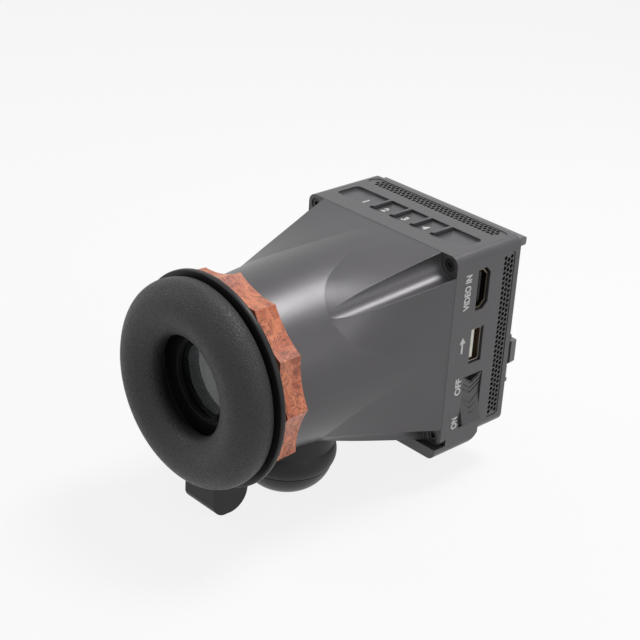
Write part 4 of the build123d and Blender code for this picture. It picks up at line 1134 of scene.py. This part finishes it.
@dataclass
class Studio:
    """White floor, white surroundings, soft lamps and the camera. The camera's angles are degrees."""

    focal_mm: float = 90.02
    sensor_mm: float = 36.0
    clip_start: float = 0.01
    camera_place: Vector = field(default_factory=lambda: Vector((0.365687, -0.344292, 0.312455)))
    azimuth: float = 45.6625
    elevation: float = 26.0897
    roll: float = 3.5612
    target: Vector = field(default_factory=lambda: Vector((0.0, 0.015, 0.05)))
    lamps: tuple[Lamp, ...] = field(default_factory=lambda: (
        Lamp("overhead_lamp", Vector((0.064, 0.25, 0.66)), 2.6, 0.22),
        Lamp("left_lamp", Vector((-0.75, -0.45, 0.55)), 1.2, 0.45),
        Lamp("right_lamp", Vector((0.85, 0.10, 0.45)), 1.1, 0.45)))
    fill: float = 0.3
    floor_half: float = 6.0
    floor_cells: int = 12
    floor_colour: Colour = (0.88, 0.88, 0.88)
    floor_glow: float = 0.84

    def build(self) -> None:
        """Builds the floor, the surroundings, the lamps and the camera."""
        self.floor()
        self.surroundings()
        for lamp in self.lamps:
            lamp.build(self.target)
        self.camera()

    def floor(self) -> None:
        """A wide white floor that keeps the object's shadow."""
        cells, row = self.floor_cells, self.floor_cells + 1
        places = [-self.floor_half + 2 * self.floor_half * step / cells for step in range(row)]
        points = [(x, y, 0.0) for y in places for x in places]
        corners = [j * row + i for j in range(cells) for i in range(cells)]
        faces = [(corner, corner + 1, corner + row + 1, corner + row) for corner in corners]
        mesh = mesh_from("studio_floor", points, faces)
        floor = bpy.data.objects.new("studio_floor", mesh)
        bpy.context.scene.collection.objects.link(floor)
        material = bpy.data.materials.new("white_floor")
        graph = Graph(material)
        paint = graph.principled(Base_Color=self.floor_colour, Roughness=0.9, Specular_IOR_Level=0.0)
        glow = graph.node("ShaderNodeEmission", {}, {"Color": WHITE, "Strength": 1.0})
        share = graph.seen_white() * self.floor_glow
        graph.end(graph.node("ShaderNodeMixShader", {}, {0: share, 1: paint, 2: glow}))
        mesh.materials.append(material)

    def surroundings(self) -> None:
        """White surroundings that light the object only a little."""
        world = bpy.data.worlds.new("studio_white")
        bpy.context.scene.world = world
        graph = Graph(world)
        dim = graph.node("ShaderNodeBackground", {}, {"Color": WHITE, "Strength": self.fill})
        bright = graph.node("ShaderNodeBackground", {}, {"Color": WHITE, "Strength": 1.0})
        mixed = graph.node("ShaderNodeMixShader", {}, {0: graph.seen_white(), 1: dim, 2: bright})
        graph.end(mixed, "ShaderNodeOutputWorld")

    def camera(self) -> None:
        """The camera of the photograph."""
        around, above, tip = (math.radians(angle) for angle in (self.azimuth, self.elevation, self.roll))
        level = math.cos(above)
        back = Vector((math.sin(around) * level, -math.cos(around) * level, math.sin(above)))
        right = (-back).cross(Vector((0, 0, 1))).normalized()
        top = right.cross(-back)
        across = math.cos(tip) * right + math.sin(tip) * top
        upwards = -math.sin(tip) * right + math.cos(tip) * top
        matrix = Matrix.Identity(4)
        for column, axis in enumerate((across, upwards, back)):
            for row in range(3):
                matrix[row][column] = axis[row]
        matrix.translation = self.camera_place
        data = bpy.data.cameras.new("photo_camera")
        data.sensor_width = self.sensor_mm
        data.lens = self.focal_mm
        data.clip_start = self.clip_start
        camera = bpy.data.objects.new("photo_camera", data)
        bpy.context.scene.collection.objects.link(camera)
        camera.matrix_world = matrix
        bpy.context.scene.camera = camera
        bpy.context.scene.view_settings.view_transform = "Standard"


def main() -> None:
    """Builds every sub-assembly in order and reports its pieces."""
    logging.basicConfig(level=logging.INFO, format="%(name)s: %(message)s")
    for assembly in (Housing(), FunctionKeys(), Sockets(), PowerSwitch(), BatteryMount(), FocusRing(),
                     Optics(), Eyecup(), Foot()):
        for piece in assembly.build():
            LOG.info("%s has %s", type(assembly).__name__, piece)
    Studio().build()


if __name__ == "__main__":
    main()
